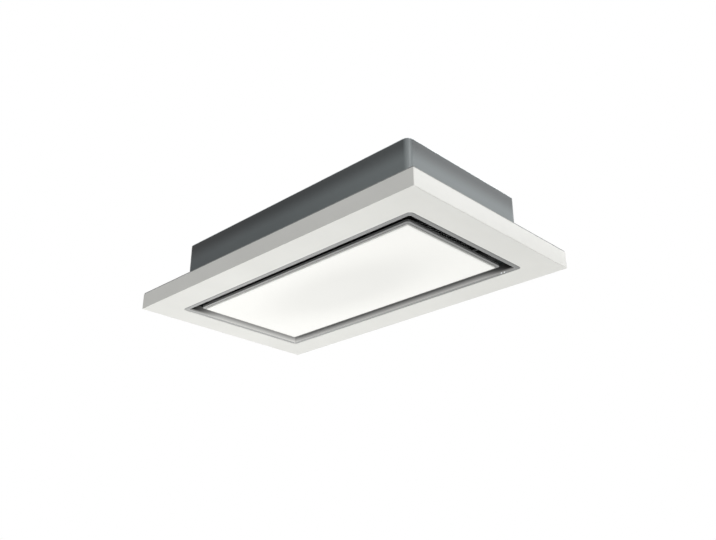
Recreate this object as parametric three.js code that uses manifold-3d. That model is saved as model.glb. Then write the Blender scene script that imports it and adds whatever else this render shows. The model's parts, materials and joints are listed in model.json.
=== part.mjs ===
// Ceiling range hood: a shallow extractor that hangs in the ceiling void, with a wide lacquered surround
// below the ceiling, a lit panel that swings down, and air drawn in through the gap all round that panel.
// Millimetres, +Z up, +X along the length. The origin is the centre of the ceiling plane, which the
// surround's sealing strip meets. Inside the hood, heights are measured up from the hood's underside.

import * as THREE from "three";
import { mergeVertices } from "three/addons/utils/BufferGeometryUtils.js";
import Module from "manifold-3d";

const wasm = await Module();
wasm.setup();

// ---- Driving dimensions ----

const SEAT_GAP = 0.3; // between two pieces that rest on or against each other
const CUT_OVERRUN = 1; // how far a cutting shape runs past the face it cuts
const WELD_DISTANCE = 1e-3; // corners closer than this are one corner
const SMALLEST_RADIUS = 0.2; // what an inset leaves of a corner
const SLOT_END_FLAT = 0.1; // a slot's round ends stop this short of meeting, so no two corners coincide

// Surround: a folded sheet-steel frame, open at the back, under the ceiling.
const FRAME_LENGTH = 1200;
const FRAME_DEPTH = 700;
const FRAME_THICKNESS = 57;
const FRAME_SHEET = 1.5;
const FRAME_EDGE_RADIUS = 2.5;
const FRAME_CORNER_RADIUS = 3;
const FRAME_RETURN = 16;
const FRAME_RIB_PITCH = 260;
const SEAL_THICKNESS = 2.7;
const SEAL_WIDTH = 11;
const SEAL_INSET = 2;

// Casing: the box in the ceiling void.
const BODY_LENGTH = 1004;
const BODY_DEPTH = 500;
const BODY_HEIGHT = 231;
const BODY_CORNER_RADIUS = 20;
const BODY_SHEET = 1.2;
const LID_FLANGE = 5.5;
const LID_BEAD_LENGTH = 560;
const LID_BEAD_WIDTH = 14;
const LID_BEAD_HEIGHT = 2.2;
const LID_BEAD_PITCH = 150;
const BODY_OPENING_GAP = 1.2; // between the casing's wall and the surround

// Trim round the intake.
const LIP_OVERHANG = 3;
const LIP_WIDTH = 15;
const LIP_THICKNESS = 1.5;
const LIP_BEVEL_WIDTH = 4.5;
const LIP_BEVEL_RISE = 1.2;
const LIP_CORNER_RADIUS = 14;
const INTAKE_CORNER_RADIUS = 5;
const TRIM_SHEET = 1.2;
const TRIM_HEIGHT = 24;

// Lit panel.
const INTAKE_GAP_ENDS = 31;
const INTAKE_GAP_SIDES = 29;
const PANEL_CORNER_RADIUS = 10;
const PANEL_RIM_WIDTH = 11; // steel rim that shows round the diffuser
const PANEL_RIM_THICKNESS = 2.5;
const PANEL_THICKNESS = 14.5;
const DIFFUSER_CORNER_RADIUS = 3;
const DIFFUSER_THICKNESS = 5;
const DIFFUSER_EDGE_RADIUS = 1;
const TRAY_SHEET = 1;
const COVER_MARGIN = 38;
const COVER_HEIGHT = 5;
const LED_STRIP_WIDTH = 12;
const LED_STRIP_HEIGHT = 5;
const LED_STRIP_INSET = 14;

// Panel hinges and catches.
const HINGE_SPACING = 600;
const HINGE_INSET = 13;
const HINGE_HEIGHT = 30;
const HINGE_EYE_RADIUS = 6;
const PIN_RADIUS = 3;
const PIN_HEAD_RADIUS = 4.6;
const PIN_HEAD_THICKNESS = 1.4;
const PIN_CLEARANCE = 0.35;
const HINGE_TONGUE = 4;
const HINGE_EAR = 2.5;
const HINGE_SIDE_GAP = 0.6;
const HINGE_FOOT_DEPTH = 15;
const HINGE_ARM_FOOT_DEPTH = 26;
const HINGE_ARM_SET_BACK = 7;
const BRACKET_FOOT_LENGTH = 44;
const BRACKET_SHEET = 2;
const CATCH_SIZE = 14;
const CATCH_INSET = 10.5;
const CATCH_POST_LENGTH = 16;
const CATCH_POST_RADIUS = 2;
const CATCH_FOOT_LENGTH = 43;
const CATCH_PLATE_LENGTH = 30;
const CATCH_PLATE_THICKNESS = 1.5;

// Filter deck and grease filters.
const DECK_HEIGHT = 45;
const DECK_SHEET = 1.2;
const DECK_FLANGE = 14;
const FILTER_COUNT = 3;
const FILTER_LENGTH = 286;
const FILTER_DEPTH = 280;
const FILTER_PITCH = 308;
const FILTER_THICKNESS = 10;
const FILTER_SHEET = 1;
const FILTER_RIM = 11;
const FILTER_GAP = 3;
const FILTER_CORNER_RADIUS = 4;
const FILTER_PLEATS = 16;
const FILTER_MESH_SHEET = 1.85; // two crossed layers of expanded mesh
const FILTER_MESH_NOTCH = 38;
const FILTER_LUG_LENGTH = 18;
const FILTER_LUG_REACH = 4;
const FILTER_LUG_SPACING = 180;
const LATCH_WIDTH = 34;
const LATCH_THICKNESS = 2;
const LATCH_REACH = 5;
const LATCH_LENGTH = 24;
const LATCH_TRAVEL = 7;
const LATCH_GRIP_DROP = 12;

// Blower: a flat spiral housing with a caged impeller on an upright shaft.
const BLOWER_X = -60;
const IMPELLER_DIAMETER = 184;
const IMPELLER_HEIGHT = 88;
const IMPELLER_FLOOR_GAP = 10;
const BLADE_COUNT = 36;
const BLADE_DEPTH = 17;
const BLADE_SHEET = 1.2;
const BLADE_SWEEP = 0.17; // radians that a blade's tip leads its root
const BLADE_STATIONS = 3;
const BLADE_END_INSET = 0.4; // a blade stops this short of the rims' edges
const IMPELLER_RIM = 2.5;
const HUB_CUP_DIAMETER = 112;
const HUB_CUP_DEPTH = 62;
const HUB_SHEET = 2;
const BACK_PLATE_EDGE = 2; // flat edge inside the blades' roots
const BACK_PLATE_DIP = 21.7;
const BACK_PLATE_STATIONS = 3;
const HUB_BOSS_DIAMETER = 24;
const HUB_BOSS_HEIGHT = 14;
const SHAFT_DIAMETER = 8;
const SHAFT_LENGTH = 40;
const MOTOR_DIAMETER = 98;
const MOTOR_HEIGHT = 56;
const MOTOR_FLANGE_DIAMETER = 130;
const MOTOR_FLANGE_THICKNESS = 3;
const MOTOR_EDGE = 6; // bevel round the can's lower end
const MOTOR_SHOULDER = 3;
const MOTOR_SHOULDER_DROP = 5;
const SHAFT_CHAMFER = 1;
const SCROLL_HEIGHT = 108;
const SCROLL_SHEET = 1.5;
const SCROLL_TONGUE_GAP = 6;
const SCROLL_RISE = 74;
const TONGUE_ANGLE = 145; // degrees
const SCROLL_STEPS = 32;
const THROAT_LENGTH = 190;
const SCROLL_FOOT_LENGTH = 30;
const SCROLL_FOOT_WIDTH = 22;
const INLET_LIP_DIAMETER = 184;
const INLET_THROAT_DIAMETER = 142;
const INLET_DEPTH = 14;
const INLET_SHEET = 1.5;
const INLET_HOLE_MARGIN = 6;
const BEND_STATIONS = 3;

// Outlet collar with a spring-closed pair of flaps.
const OUTLET_DIAMETER = 149;
const OUTLET_SHEET = 1.5;
const OUTLET_LENGTH = 60;
const OUTLET_HEADROOM = 7;
const OUTLET_INNER_LENGTH = 32;
const OUTLET_FLANGE_WIDTH = 5;
const OUTLET_FLANGE_THICKNESS = 2;
const OUTLET_BEAD = 1.4;
const OUTLET_BEAD_WIDTH = 6;
const OUTLET_BEAD_SETBACK = 9; // from the collar's mouth to the bead's middle
const FLAP_SETBACK = 12; // from the collar's inner end to the flaps' pin
const FLAP_SHEET = 1;
const FLAP_RIM_GAP = 1;
const FLAP_PIN_RADIUS = 2;
const FLAP_KNUCKLE_RADIUS = 4;
const FLAP_KNUCKLE_LENGTH = 26;
const FLAP_STOP_WIDTH = 2.5;
const FLAP_STOP_THICKNESS = 3;

// Hangers, clamps and electrics.
const HANGER_X = 400;
const HANGER_Y = 150;
const HANGER_HEIGHT = 30;
const HANGER_WIDTH = 40;
const HANGER_FOOT = 38;
const HANGER_SHEET = 2.5;
const HANGER_SLOT_LENGTH = 22;
const HANGER_SLOT_WIDTH = 9;
const HANGER_SCREW_RADIUS = 2.6;
const CLAMP_X = 330;
const CLAMP_WIDTH = 40;
const CLAMP_HEIGHT = 34;
const CLAMP_FOOT = 22;
const CLAMP_SHEET = 2;
const CONTROL_X = 330;
const CONTROL_Y = -95;
const CONTROL_LENGTH = 190;
const CONTROL_DEPTH = 120;
const CONTROL_HEIGHT = 46;
const CONTROL_SHEET = 1.2;
const CONTROL_CORNER_RADIUS = 5;
const CONTROL_CABLE_HOLE = 14;
const DRIVER_X = 330;
const DRIVER_Y = 70;
const DRIVER_LENGTH = 180;
const DRIVER_DEPTH = 52;
const DRIVER_HEIGHT = 32;
const DRIVER_CORNER_RADIUS = 4;
const DRIVER_EDGE_RADIUS = 2;
const GLAND_X = 330;
const GLAND_Y = 150;
const GLAND_DIAMETER = 20;
const GLAND_HEIGHT = 18;
const GLAND_TAIL = 10; // below the lid's underside
const GLAND_HEX_MARGIN = 4;
const GLAND_HEX_HEIGHT = 7;
const GLAND_DOME_HEIGHT = 3;
const GLAND_MOUTH_DIAMETER = 14;
const LENS_LENGTH = 5;
const LENS_WIDTH = 2.4;
const LENS_PITCH = 11;
const LENS_FROM_CORNER = 45;
const LENS_BOARD_LENGTH = 34;
const LENS_BOARD_WIDTH = 7.5;
const LENS_BOARD_THICKNESS = 1.6;
const LENS_BOARD_HEIGHT = 4;

// How finely curves are faceted.
const CORNER_STEPS = 4;
const EDGE_STEPS = 2;
const ROUND_STEPS = 28;
const SMALL_ROUND_STEPS = 12;

// ---- Sizes that follow ----

const FRAME_METAL_HEIGHT = FRAME_THICKNESS - SEAL_THICKNESS - SEAT_GAP;
const FRAME_OPENING_LENGTH = BODY_LENGTH + 2 * BODY_OPENING_GAP;
const FRAME_OPENING_DEPTH = BODY_DEPTH + 2 * BODY_OPENING_GAP;
const LIP_LENGTH = BODY_LENGTH + 2 * LIP_OVERHANG;
const LIP_DEPTH = BODY_DEPTH + 2 * LIP_OVERHANG;
const INTAKE_LENGTH = LIP_LENGTH - 2 * LIP_WIDTH;
const INTAKE_DEPTH = LIP_DEPTH - 2 * LIP_WIDTH;
const PANEL_LENGTH = INTAKE_LENGTH - 2 * INTAKE_GAP_ENDS;
const PANEL_DEPTH = INTAKE_DEPTH - 2 * INTAKE_GAP_SIDES;
const DIFFUSER_LENGTH = PANEL_LENGTH - 2 * PANEL_RIM_WIDTH;
const DIFFUSER_DEPTH = PANEL_DEPTH - 2 * PANEL_RIM_WIDTH;
const PANEL_PIVOT_Y = PANEL_DEPTH / 2 - HINGE_INSET;
const CATCH_Y = CATCH_INSET - DIFFUSER_DEPTH / 2;
const WALL_BOTTOM = LIP_THICKNESS + SEAT_GAP;
const LID_BOTTOM = BODY_HEIGHT - BODY_SHEET;
const INNER_LENGTH = BODY_LENGTH - 2 * BODY_SHEET;
const INNER_DEPTH = BODY_DEPTH - 2 * BODY_SHEET;
const INNER_CORNER_RADIUS = BODY_CORNER_RADIUS - BODY_SHEET;
const DECK_TOP = DECK_HEIGHT + DECK_SHEET;
const FILTER_OPENING_LENGTH = FILTER_LENGTH + 2 * FILTER_GAP;
const FILTER_OPENING_DEPTH = FILTER_DEPTH + 2 * FILTER_GAP;
const IMPELLER_RADIUS = IMPELLER_DIAMETER / 2;
const BLADE_ROOT_RADIUS = IMPELLER_RADIUS - BLADE_DEPTH;
const SCROLL_START_RADIUS = IMPELLER_RADIUS + SCROLL_TONGUE_GAP;
const SCROLL_END_RADIUS = SCROLL_START_RADIUS + SCROLL_RISE;
const TONGUE_Y = SCROLL_START_RADIUS * Math.sin(THREE.MathUtils.degToRad(TONGUE_ANGLE));
const THROAT_WIDTH = SCROLL_END_RADIUS - TONGUE_Y;
const OUTLET_Y = (SCROLL_END_RADIUS + TONGUE_Y) / 2;
const OUTLET_RADIUS = OUTLET_DIAMETER / 2;
const OUTLET_Z = LID_BOTTOM - OUTLET_HEADROOM - OUTLET_RADIUS;
const SCROLL_FLOOR = OUTLET_Z - SCROLL_HEIGHT / 2;
const BODY_END = BODY_LENGTH / 2;

// ---- Finishes ----

const FINISHES = {
  whiteEnamel: { color: 0xe6e6e2, roughness: 0.5, metalness: 0 },
  sealFoam: { color: 0x9b9d9c, roughness: 0.95, metalness: 0 },
  greyEnamel: { color: 0x5b6164, roughness: 0.45, metalness: 0.3 },
  brushedSteel: { color: 0xa8a9a8, roughness: 0.35, metalness: 1 },
  zincSteel: { color: 0x9ea3a6, roughness: 0.45, metalness: 1 },
  blackEnamel: { color: 0x16181a, roughness: 0.6, metalness: 0 },
  opalAcrylic: { color: 0xf8f8f4, roughness: 0.35, metalness: 0 },
  aluminium: { color: 0xc3c6c8, roughness: 0.4, metalness: 1 },
  blackPlastic: { color: 0x1f2022, roughness: 0.55, metalness: 0 },
  greyPlastic: { color: 0x8f9294, roughness: 0.55, metalness: 0 },
  clearLens: { color: 0xe8eef2, roughness: 0.15, metalness: 0 },
  circuitBoard: { color: 0x1f5a3a, roughness: 0.5, metalness: 0 },
  turnedSteel: { color: 0xb4b6b8, roughness: 0.3, metalness: 1 },
};

// ---- Geometry helpers ----

// Keeps only positions, welds shared corners, drops collapsed triangles and turns the faces outwards.
function clean(geometry) {
  const bare = new THREE.BufferGeometry();
  bare.setAttribute("position", geometry.getAttribute("position"));
  if (geometry.index) bare.setIndex(geometry.index);
  const welded = mergeVertices(bare, WELD_DISTANCE);
  const source = welded.index.array;
  const position = welded.getAttribute("position");
  const corner = [new THREE.Vector3(), new THREE.Vector3(), new THREE.Vector3()];
  const kept = [];
  let volume = 0;
  for (let i = 0; i < source.length; i += 3) {
    const [a, b, c] = [source[i], source[i + 1], source[i + 2]];
    if (a === b || b === c || c === a) continue;
    kept.push(a, b, c);
    [a, b, c].forEach((vertex, k) => corner[k].fromBufferAttribute(position, vertex));
    volume += corner[0].dot(corner[1].cross(corner[2]));
  }
  if (volume < 0) kept.reverse();
  welded.setIndex(kept);
  return welded;
}

function toSolid(geometry) {
  const welded = clean(geometry);
  return new wasm.Manifold(
    new wasm.Mesh({
      numProp: 3,
      vertProperties: welded.getAttribute("position").array,
      triVerts: new Uint32Array(welded.index.array),
    }),
  );
}

function toGeometry(solid) {
  const mesh = solid.getMesh();
  const geometry = new THREE.BufferGeometry();
  geometry.setAttribute("position", new THREE.BufferAttribute(mesh.vertProperties, 3));
  geometry.setIndex(new THREE.BufferAttribute(mesh.triVerts, 1));
  return geometry;
}

const join = (...geometries) => toGeometry(geometries.map(toSolid).reduce((a, b) => a.add(b)));

function cut(geometry, ...tools) {
  return toGeometry(tools.map(toSolid).reduce((left, tool) => left.subtract(tool), toSolid(geometry)));
}

// A rectangle with round corners, as points anticlockwise from its +X +Y corner.
function roundedOutline(length, depth, radius, steps = CORNER_STEPS) {
  const points = [];
  const signs = [
    [1, 1],
    [-1, 1],
    [-1, -1],
    [1, -1],
  ];
  signs.forEach(([sx, sy], quarter) => {
    for (let i = 0; i <= steps; i++) {
      const angle = ((quarter + i / steps) * Math.PI) / 2;
      const x = sx * (length / 2 - radius) + radius * Math.cos(angle);
      const y = sy * (depth / 2 - radius) + radius * Math.sin(angle);
      points.push(new THREE.Vector2(x, y));
    }
  });
  return points;
}

// A section of a pressing: a rounded rectangle of a given size, drawn in by an inset, at a height.
function section(form, inset, z) {
  const radius = Math.max(form.radius - inset, SMALLEST_RADIUS);
  const outline = roundedOutline(form.length - 2 * inset, form.depth - 2 * inset, radius, form.steps);
  return outline.map((p) => new THREE.Vector3(p.x, p.y, z));
}

// Skins a row of sections that all have as many points. A closed row makes a ring; an open one is capped.
function skin(sections, closed) {
  const count = sections[0].length;
  const corners = [];
  const spans = closed ? sections.length : sections.length - 1;
  for (let s = 0; s < spans; s++) {
    const low = s * count;
    const high = ((s + 1) % sections.length) * count;
    for (let i = 0; i < count; i++) {
      const next = (i + 1) % count;
      corners.push(low + i, low + next, high + next, low + i, high + next, high + i);
    }
  }
  if (!closed) {
    const top = (sections.length - 1) * count;
    for (let i = 1; i < count - 1; i++) {
      corners.push(0, i + 1, i, top, top + i, top + i + 1);
    }
  }
  const geometry = new THREE.BufferGeometry();
  const numbers = sections.flat().flatMap((p) => [p.x, p.y, p.z]);
  geometry.setAttribute("position", new THREE.Float32BufferAttribute(numbers, 3));
  geometry.setIndex(corners);
  return geometry;
}

const ring = (...sections) => skin(sections, true);
const block = (...sections) => skin(sections, false);

// An upright prism of a rounded rectangle between two heights.
const slab = (form, bottom, top) => block(section(form, 0, bottom), section(form, 0, top));

const rectangle = (length, depth, radius, steps = CORNER_STEPS) => ({ length, depth, radius, steps });

const slotShape = (length, width, steps) => rectangle(length, width, width / 2 - SLOT_END_FLAT, steps);

function cuboid(length, depth, height, x, y, bottom) {
  return new THREE.BoxGeometry(length, depth, height).translate(x, y, bottom + height / 2);
}

// A round bar with its axis along X, Y or Z, centred on a point.
function rod(radius, length, axis, x, y, z, steps = SMALL_ROUND_STEPS) {
  const geometry = new THREE.CylinderGeometry(radius, radius, length, steps);
  if (axis === "x") geometry.rotateZ(Math.PI / 2);
  if (axis === "z") geometry.rotateX(Math.PI / 2);
  return geometry.translate(x, y, z);
}

// A turned piece about the Z axis from a profile of [radius, height] points. A profile that isn't on
// the axis at both ends closes on itself.
function turned(profile, steps = ROUND_STEPS) {
  const points = profile.map(([radius, height]) => new THREE.Vector2(radius, height));
  const onAxis = profile[0][0] === 0 && profile[profile.length - 1][0] === 0;
  if (!onAxis) points.push(points[0].clone());
  return new THREE.LatheGeometry(points, steps).rotateX(Math.PI / 2);
}

// An outline in the plan view, raised by a height.
function raised(outline, height) {
  return new THREE.ExtrudeGeometry(new THREE.Shape(outline), { depth: height, bevelEnabled: false });
}

// A bent strip: its centre line's corners [across, up] in the XZ plane, a sheet thickness to the left
// of the line's direction, and a width along Y.
function bentStrip(corners, sheet, width) {
  const line = corners.map(([a, b]) => new THREE.Vector2(a, b));
  const normals = line.slice(1).map((p, i) => {
    const along = p.clone().sub(line[i]).normalize();
    return new THREE.Vector2(-along.y, along.x);
  });
  const far = line.map((p, i) => {
    const before = normals[Math.max(i - 1, 0)];
    const after = normals[Math.min(i, normals.length - 1)];
    const mitre = before.clone().add(after);
    return p.clone().addScaledVector(mitre, (2 * sheet) / mitre.lengthSq());
  });
  const geometry = raised([...line, ...far.reverse()], width);
  return geometry.rotateX(Math.PI / 2).translate(0, width / 2, 0);
}

// An eye on a foot, seen along X: a plate with a round head at the top or bottom, given in the YZ plane
// by the head's centre height, the foot's height and its depth, and centred on a place along X.
function eyePlate(thickness, x, headHeight, footHeight, footDepth) {
  const facing = headHeight > footHeight ? 1 : -1;
  const points = [
    [-footDepth / 2, footHeight],
    [footDepth / 2, footHeight],
  ].map(([a, b]) => new THREE.Vector2(a, b));
  for (let i = 0; i <= SMALL_ROUND_STEPS / 2; i++) {
    const angle = (facing * i * 2 * Math.PI) / SMALL_ROUND_STEPS;
    const a = HINGE_EYE_RADIUS * Math.cos(angle);
    points.push(new THREE.Vector2(a, headHeight + HINGE_EYE_RADIUS * Math.sin(angle)));
  }
  const plate = raised(points, thickness);
  // Drawn in XY: its X becomes the part's Y and its Y becomes the part's Z.
  plate.applyMatrix4(new THREE.Matrix4().set(0, 0, 1, 0, 1, 0, 0, 0, 0, 1, 0, 0, 0, 0, 0, 1));
  return plate.translate(x - thickness / 2, 0, 0);
}

// ---- The scene graph ----

const hood = new THREE.Group();
hood.position.z = -FRAME_THICKNESS;

function piece(name, geometry, finish, parent = hood) {
  const mesh = new THREE.Mesh(clean(geometry), new THREE.MeshStandardMaterial(FINISHES[finish]));
  mesh.geometry.computeVertexNormals();
  mesh.name = name;
  parent.add(mesh);
  return mesh;
}

function groupAt(x, y, z, parent = hood) {
  const group = new THREE.Group();
  group.position.set(x, y, z);
  parent.add(group);
  return group;
}

// ---- Surround ----

const frameForm = rectangle(FRAME_LENGTH, FRAME_DEPTH, FRAME_CORNER_RADIUS, EDGE_STEPS);
const frameOpening = rectangle(
  FRAME_OPENING_LENGTH, FRAME_OPENING_DEPTH, BODY_CORNER_RADIUS + BODY_OPENING_GAP,
);
const lipForm = rectangle(LIP_LENGTH, LIP_DEPTH, LIP_CORNER_RADIUS);

function grown(form, by) {
  return rectangle(form.length + 2 * by, form.depth + 2 * by, form.radius + by, form.steps);
}

// The sections of a block whose bottom and top edges are rounded.
function softEdged(form, bottom, top, radius) {
  const turn = Array.from({ length: EDGE_STEPS + 1 }, (_, i) => (i * Math.PI) / 2 / EDGE_STEPS);
  const sineShort = (angle) => radius * (1 - Math.sin(angle));
  const cosineShort = (angle) => radius * (1 - Math.cos(angle));
  const below = turn.map((angle) => section(form, sineShort(angle), bottom + cosineShort(angle)));
  const above = turn.map((angle) => section(form, cosineShort(angle), top - sineShort(angle)));
  return block(...below, ...above);
}

// Cross ribs stand in the hollow of the surround at an even pitch along each side.
function frameRibs() {
  const ribs = [];
  const sideLength = FRAME_OPENING_LENGTH;
  const perSide = Math.max(1, Math.round(sideLength / FRAME_RIB_PITCH));
  for (let i = 0; i < perSide; i++) {
    const x = ((i + 0.5) / perSide - 0.5) * sideLength;
    ribs.push(cuboid(FRAME_SHEET, FRAME_DEPTH, FRAME_METAL_HEIGHT, x, 0, 0));
  }
  const perEnd = Math.max(1, Math.round(FRAME_OPENING_DEPTH / FRAME_RIB_PITCH));
  for (let i = 0; i < perEnd; i++) {
    const y = ((i + 0.5) / perEnd - 0.5) * FRAME_OPENING_DEPTH;
    ribs.push(cuboid(FRAME_LENGTH, FRAME_SHEET, FRAME_METAL_HEIGHT, 0, y, 0));
  }
  return ribs;
}

function surround() {
  const shell = softEdged(frameForm, 0, FRAME_METAL_HEIGHT, FRAME_EDGE_RADIUS);
  const rebateDepth = LIP_THICKNESS + SEAT_GAP;
  const top = FRAME_METAL_HEIGHT - FRAME_SHEET;
  // What stays standing round the opening: the inner wall, with a joggle that seats on the trim's lip.
  const innerWall = slab(grown(frameOpening, FRAME_SHEET), 0, FRAME_METAL_HEIGHT);
  const seat = slab(grown(lipForm, SEAT_GAP + FRAME_SHEET), 0, rebateDepth + FRAME_SHEET);
  const channel = slab(grown(frameForm, -FRAME_SHEET), FRAME_SHEET, top);
  const hollow = cut(channel, innerWall, seat, ...frameRibs());
  const innerReturn = slab(grown(frameOpening, FRAME_RETURN), 0, FRAME_METAL_HEIGHT + CUT_OVERRUN);
  const mouth = slab(grown(frameForm, -FRAME_RETURN), top - FRAME_SHEET, FRAME_METAL_HEIGHT + CUT_OVERRUN);
  const opening = slab(frameOpening, -CUT_OVERRUN, FRAME_METAL_HEIGHT + CUT_OVERRUN);
  const rebate = slab(grown(lipForm, SEAT_GAP), -CUT_OVERRUN, rebateDepth);
  piece("surround_frame", cut(shell, hollow, cut(mouth, innerReturn), opening, rebate), "whiteEnamel");

  const sealForm = grown(frameForm, -SEAL_INSET);
  const sealBottom = FRAME_METAL_HEIGHT + SEAT_GAP;
  const seal = ring(
    section(sealForm, 0, sealBottom),
    section(sealForm, 0, FRAME_THICKNESS),
    section(sealForm, SEAL_WIDTH, FRAME_THICKNESS),
    section(sealForm, SEAL_WIDTH, sealBottom),
  );
  piece("ceiling_seal", seal, "sealFoam");
}

// Angle clamps screwed to the casing press the surround down onto the trim's lip.
function frameClamps() {
  const foot = bentStrip(
    [
      [CLAMP_FOOT, 0],
      [0, 0],
      [0, CLAMP_HEIGHT],
    ],
    -CLAMP_SHEET,
    CLAMP_WIDTH,
  );
  for (const [side, turn] of [
    ["rear", Math.PI / 2],
    ["front", -Math.PI / 2],
  ]) {
    for (const [end, x] of [
      ["left", -CLAMP_X],
      ["right", CLAMP_X],
    ]) {
      const mesh = piece(`frame_clamp_${side}_${end}`, foot, "zincSteel");
      const y = Math.sign(turn) * (BODY_DEPTH / 2 + SEAT_GAP);
      mesh.position.set(x, y, FRAME_METAL_HEIGHT + SEAT_GAP);
      mesh.rotation.z = turn;
    }
  }
}

// ---- Casing ----

function casing() {
  const outer = rectangle(BODY_LENGTH, BODY_DEPTH, BODY_CORNER_RADIUS);
  const wallTop = LID_BOTTOM - SEAT_GAP;
  const wall = ring(
    section(outer, 0, WALL_BOTTOM),
    section(outer, 0, wallTop),
    section(outer, BODY_SHEET, wallTop),
    section(outer, BODY_SHEET, WALL_BOTTOM),
  );
  const outletHole = rod(
    OUTLET_RADIUS + SEAT_GAP, 4 * BODY_SHEET, "x", -BODY_END + BODY_SHEET, OUTLET_Y, OUTLET_Z, ROUND_STEPS,
  );
  piece("casing_wall", cut(wall, outletHole), "greyEnamel");

  const flangeGap = BODY_SHEET + SEAT_GAP;
  const flange = ring(
    section(outer, flangeGap, LID_BOTTOM - LID_FLANGE),
    section(outer, flangeGap, BODY_HEIGHT),
    section(outer, flangeGap + BODY_SHEET, BODY_HEIGHT),
    section(outer, flangeGap + BODY_SHEET, LID_BOTTOM - LID_FLANGE),
  );
  const bead = slotShape(LID_BEAD_LENGTH, LID_BEAD_WIDTH, CORNER_STEPS);
  const beadSections = [
    section(bead, 0, BODY_HEIGHT - BODY_SHEET / 2),
    section(bead, 0, BODY_HEIGHT),
    section(bead, LID_BEAD_HEIGHT, BODY_HEIGHT + LID_BEAD_HEIGHT),
  ];
  const beads = [-0.5, 0.5].map((row) => block(...beadSections).translate(0, row * LID_BEAD_PITCH, 0));
  const glandHole = rod(GLAND_DIAMETER / 2 + SEAT_GAP, 4 * BODY_SHEET, "z", GLAND_X, GLAND_Y, BODY_HEIGHT);
  const lid = join(slab(outer, LID_BOTTOM, BODY_HEIGHT), flange, ...beads);
  piece("casing_lid", cut(lid, glandHole), "zincSteel");
}

// Z-shaped hangers with a slot for a threaded rod.
function hangers() {
  const strip = bentStrip(
    [
      [0, 0],
      [HANGER_FOOT, 0],
      [HANGER_FOOT, HANGER_HEIGHT],
      [2 * HANGER_FOOT, HANGER_HEIGHT],
    ],
    HANGER_SHEET,
    HANGER_WIDTH,
  );
  const slotForm = slotShape(HANGER_SLOT_LENGTH, HANGER_SLOT_WIDTH, EDGE_STEPS);
  const slotHeight = HANGER_HEIGHT + 2 * HANGER_SHEET;
  const slot = slab(slotForm, HANGER_HEIGHT - CUT_OVERRUN, slotHeight).translate(1.5 * HANGER_FOOT, 0, 0);
  const screwHoles = [-1, 1].map((s) =>
    rod(HANGER_SCREW_RADIUS, 4 * HANGER_SHEET, "z", HANGER_FOOT / 2, (s * HANGER_WIDTH) / 4, 0),
  );
  const hanger = cut(strip, slot, ...screwHoles);
  for (const [side, y] of [
    ["rear", HANGER_Y],
    ["front", -HANGER_Y],
  ]) {
    for (const [end, x, turn] of [
      ["left", -HANGER_X, 0],
      ["right", HANGER_X, Math.PI],
    ]) {
      const mesh = piece(`hanger_${side}_${end}`, hanger, "zincSteel");
      mesh.position.set(x, y, BODY_HEIGHT + SEAT_GAP);
      mesh.rotation.z = turn;
    }
  }
}

// ---- Trim round the intake, with the two indicator lenses ----

function trim() {
  const bevelStart = LIP_BEVEL_WIDTH;
  const intake = rectangle(INTAKE_LENGTH, INTAKE_DEPTH, INTAKE_CORNER_RADIUS);
  const casingBore = rectangle(INNER_LENGTH, INNER_DEPTH, INNER_CORNER_RADIUS);
  const shelfTop = TRIM_HEIGHT;
  const shelfBottom = TRIM_HEIGHT - TRIM_SHEET;
  const profile = ring(
    section(intake, 0, 0),
    section(lipForm, bevelStart, 0),
    section(lipForm, 0, LIP_BEVEL_RISE),
    section(lipForm, 0, LIP_THICKNESS),
    section(intake, -TRIM_SHEET, LIP_THICKNESS),
    section(intake, -TRIM_SHEET, shelfBottom),
    section(casingBore, SEAT_GAP, shelfBottom),
    section(casingBore, SEAT_GAP, shelfTop),
    section(intake, 0, shelfTop),
  );
  const lensY = INTAKE_DEPTH / 2 + TRIM_SHEET + SEAT_GAP + LENS_WIDTH / 2 + SEAT_GAP;
  const lensForm = slotShape(LENS_LENGTH, LENS_WIDTH, EDGE_STEPS);
  const lensMiddle = INTAKE_LENGTH / 2 - LENS_FROM_CORNER;
  const places = [-0.5, 0.5].map((n) => lensMiddle + n * LENS_PITCH);
  const lensHoles = places.map((x) =>
    slab(grown(lensForm, SEAT_GAP), -CUT_OVERRUN, LIP_THICKNESS + CUT_OVERRUN).translate(x, lensY, 0),
  );
  piece("intake_trim", cut(profile, ...lensHoles), "brushedSteel");
  const lens = slab(lensForm, 0, LENS_BOARD_HEIGHT - SEAT_GAP);
  piece("indicator_lens_left", lens, "clearLens").position.set(places[0], lensY, 0);
  piece("indicator_lens_right", lens, "clearLens").position.set(places[1], lensY, 0);
  const boardY = INTAKE_DEPTH / 2 + TRIM_SHEET + SEAT_GAP + LENS_BOARD_WIDTH / 2;
  const board = cuboid(LENS_BOARD_LENGTH, LENS_BOARD_WIDTH, LENS_BOARD_THICKNESS, 0, 0, 0);
  piece("indicator_board", board, "circuitBoard").position.set(lensMiddle, boardY, LENS_BOARD_HEIGHT);
}

// ---- Filter deck ----

const filterPlaces = Array.from(
  { length: FILTER_COUNT },
  (_, i) => (i - (FILTER_COUNT - 1) / 2) * FILTER_PITCH,
);

function filterDeck() {
  const form = grown(rectangle(INNER_LENGTH, INNER_DEPTH, INNER_CORNER_RADIUS), -SEAT_GAP);
  const top = DECK_HEIGHT + DECK_FLANGE;
  const rim = ring(
    section(form, 0, DECK_HEIGHT),
    section(form, 0, top),
    section(form, DECK_SHEET, top),
    section(form, DECK_SHEET, DECK_HEIGHT),
  );
  const openingForm = rectangle(FILTER_OPENING_LENGTH, FILTER_OPENING_DEPTH, FILTER_CORNER_RADIUS);
  const openings = filterPlaces.map((x) =>
    slab(openingForm, DECK_HEIGHT - CUT_OVERRUN, DECK_TOP + CUT_OVERRUN).translate(x, 0, 0),
  );
  const deck = join(slab(form, DECK_HEIGHT, DECK_TOP), rim);
  piece("filter_deck", cut(deck, ...openings), "blackEnamel");
}

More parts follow.
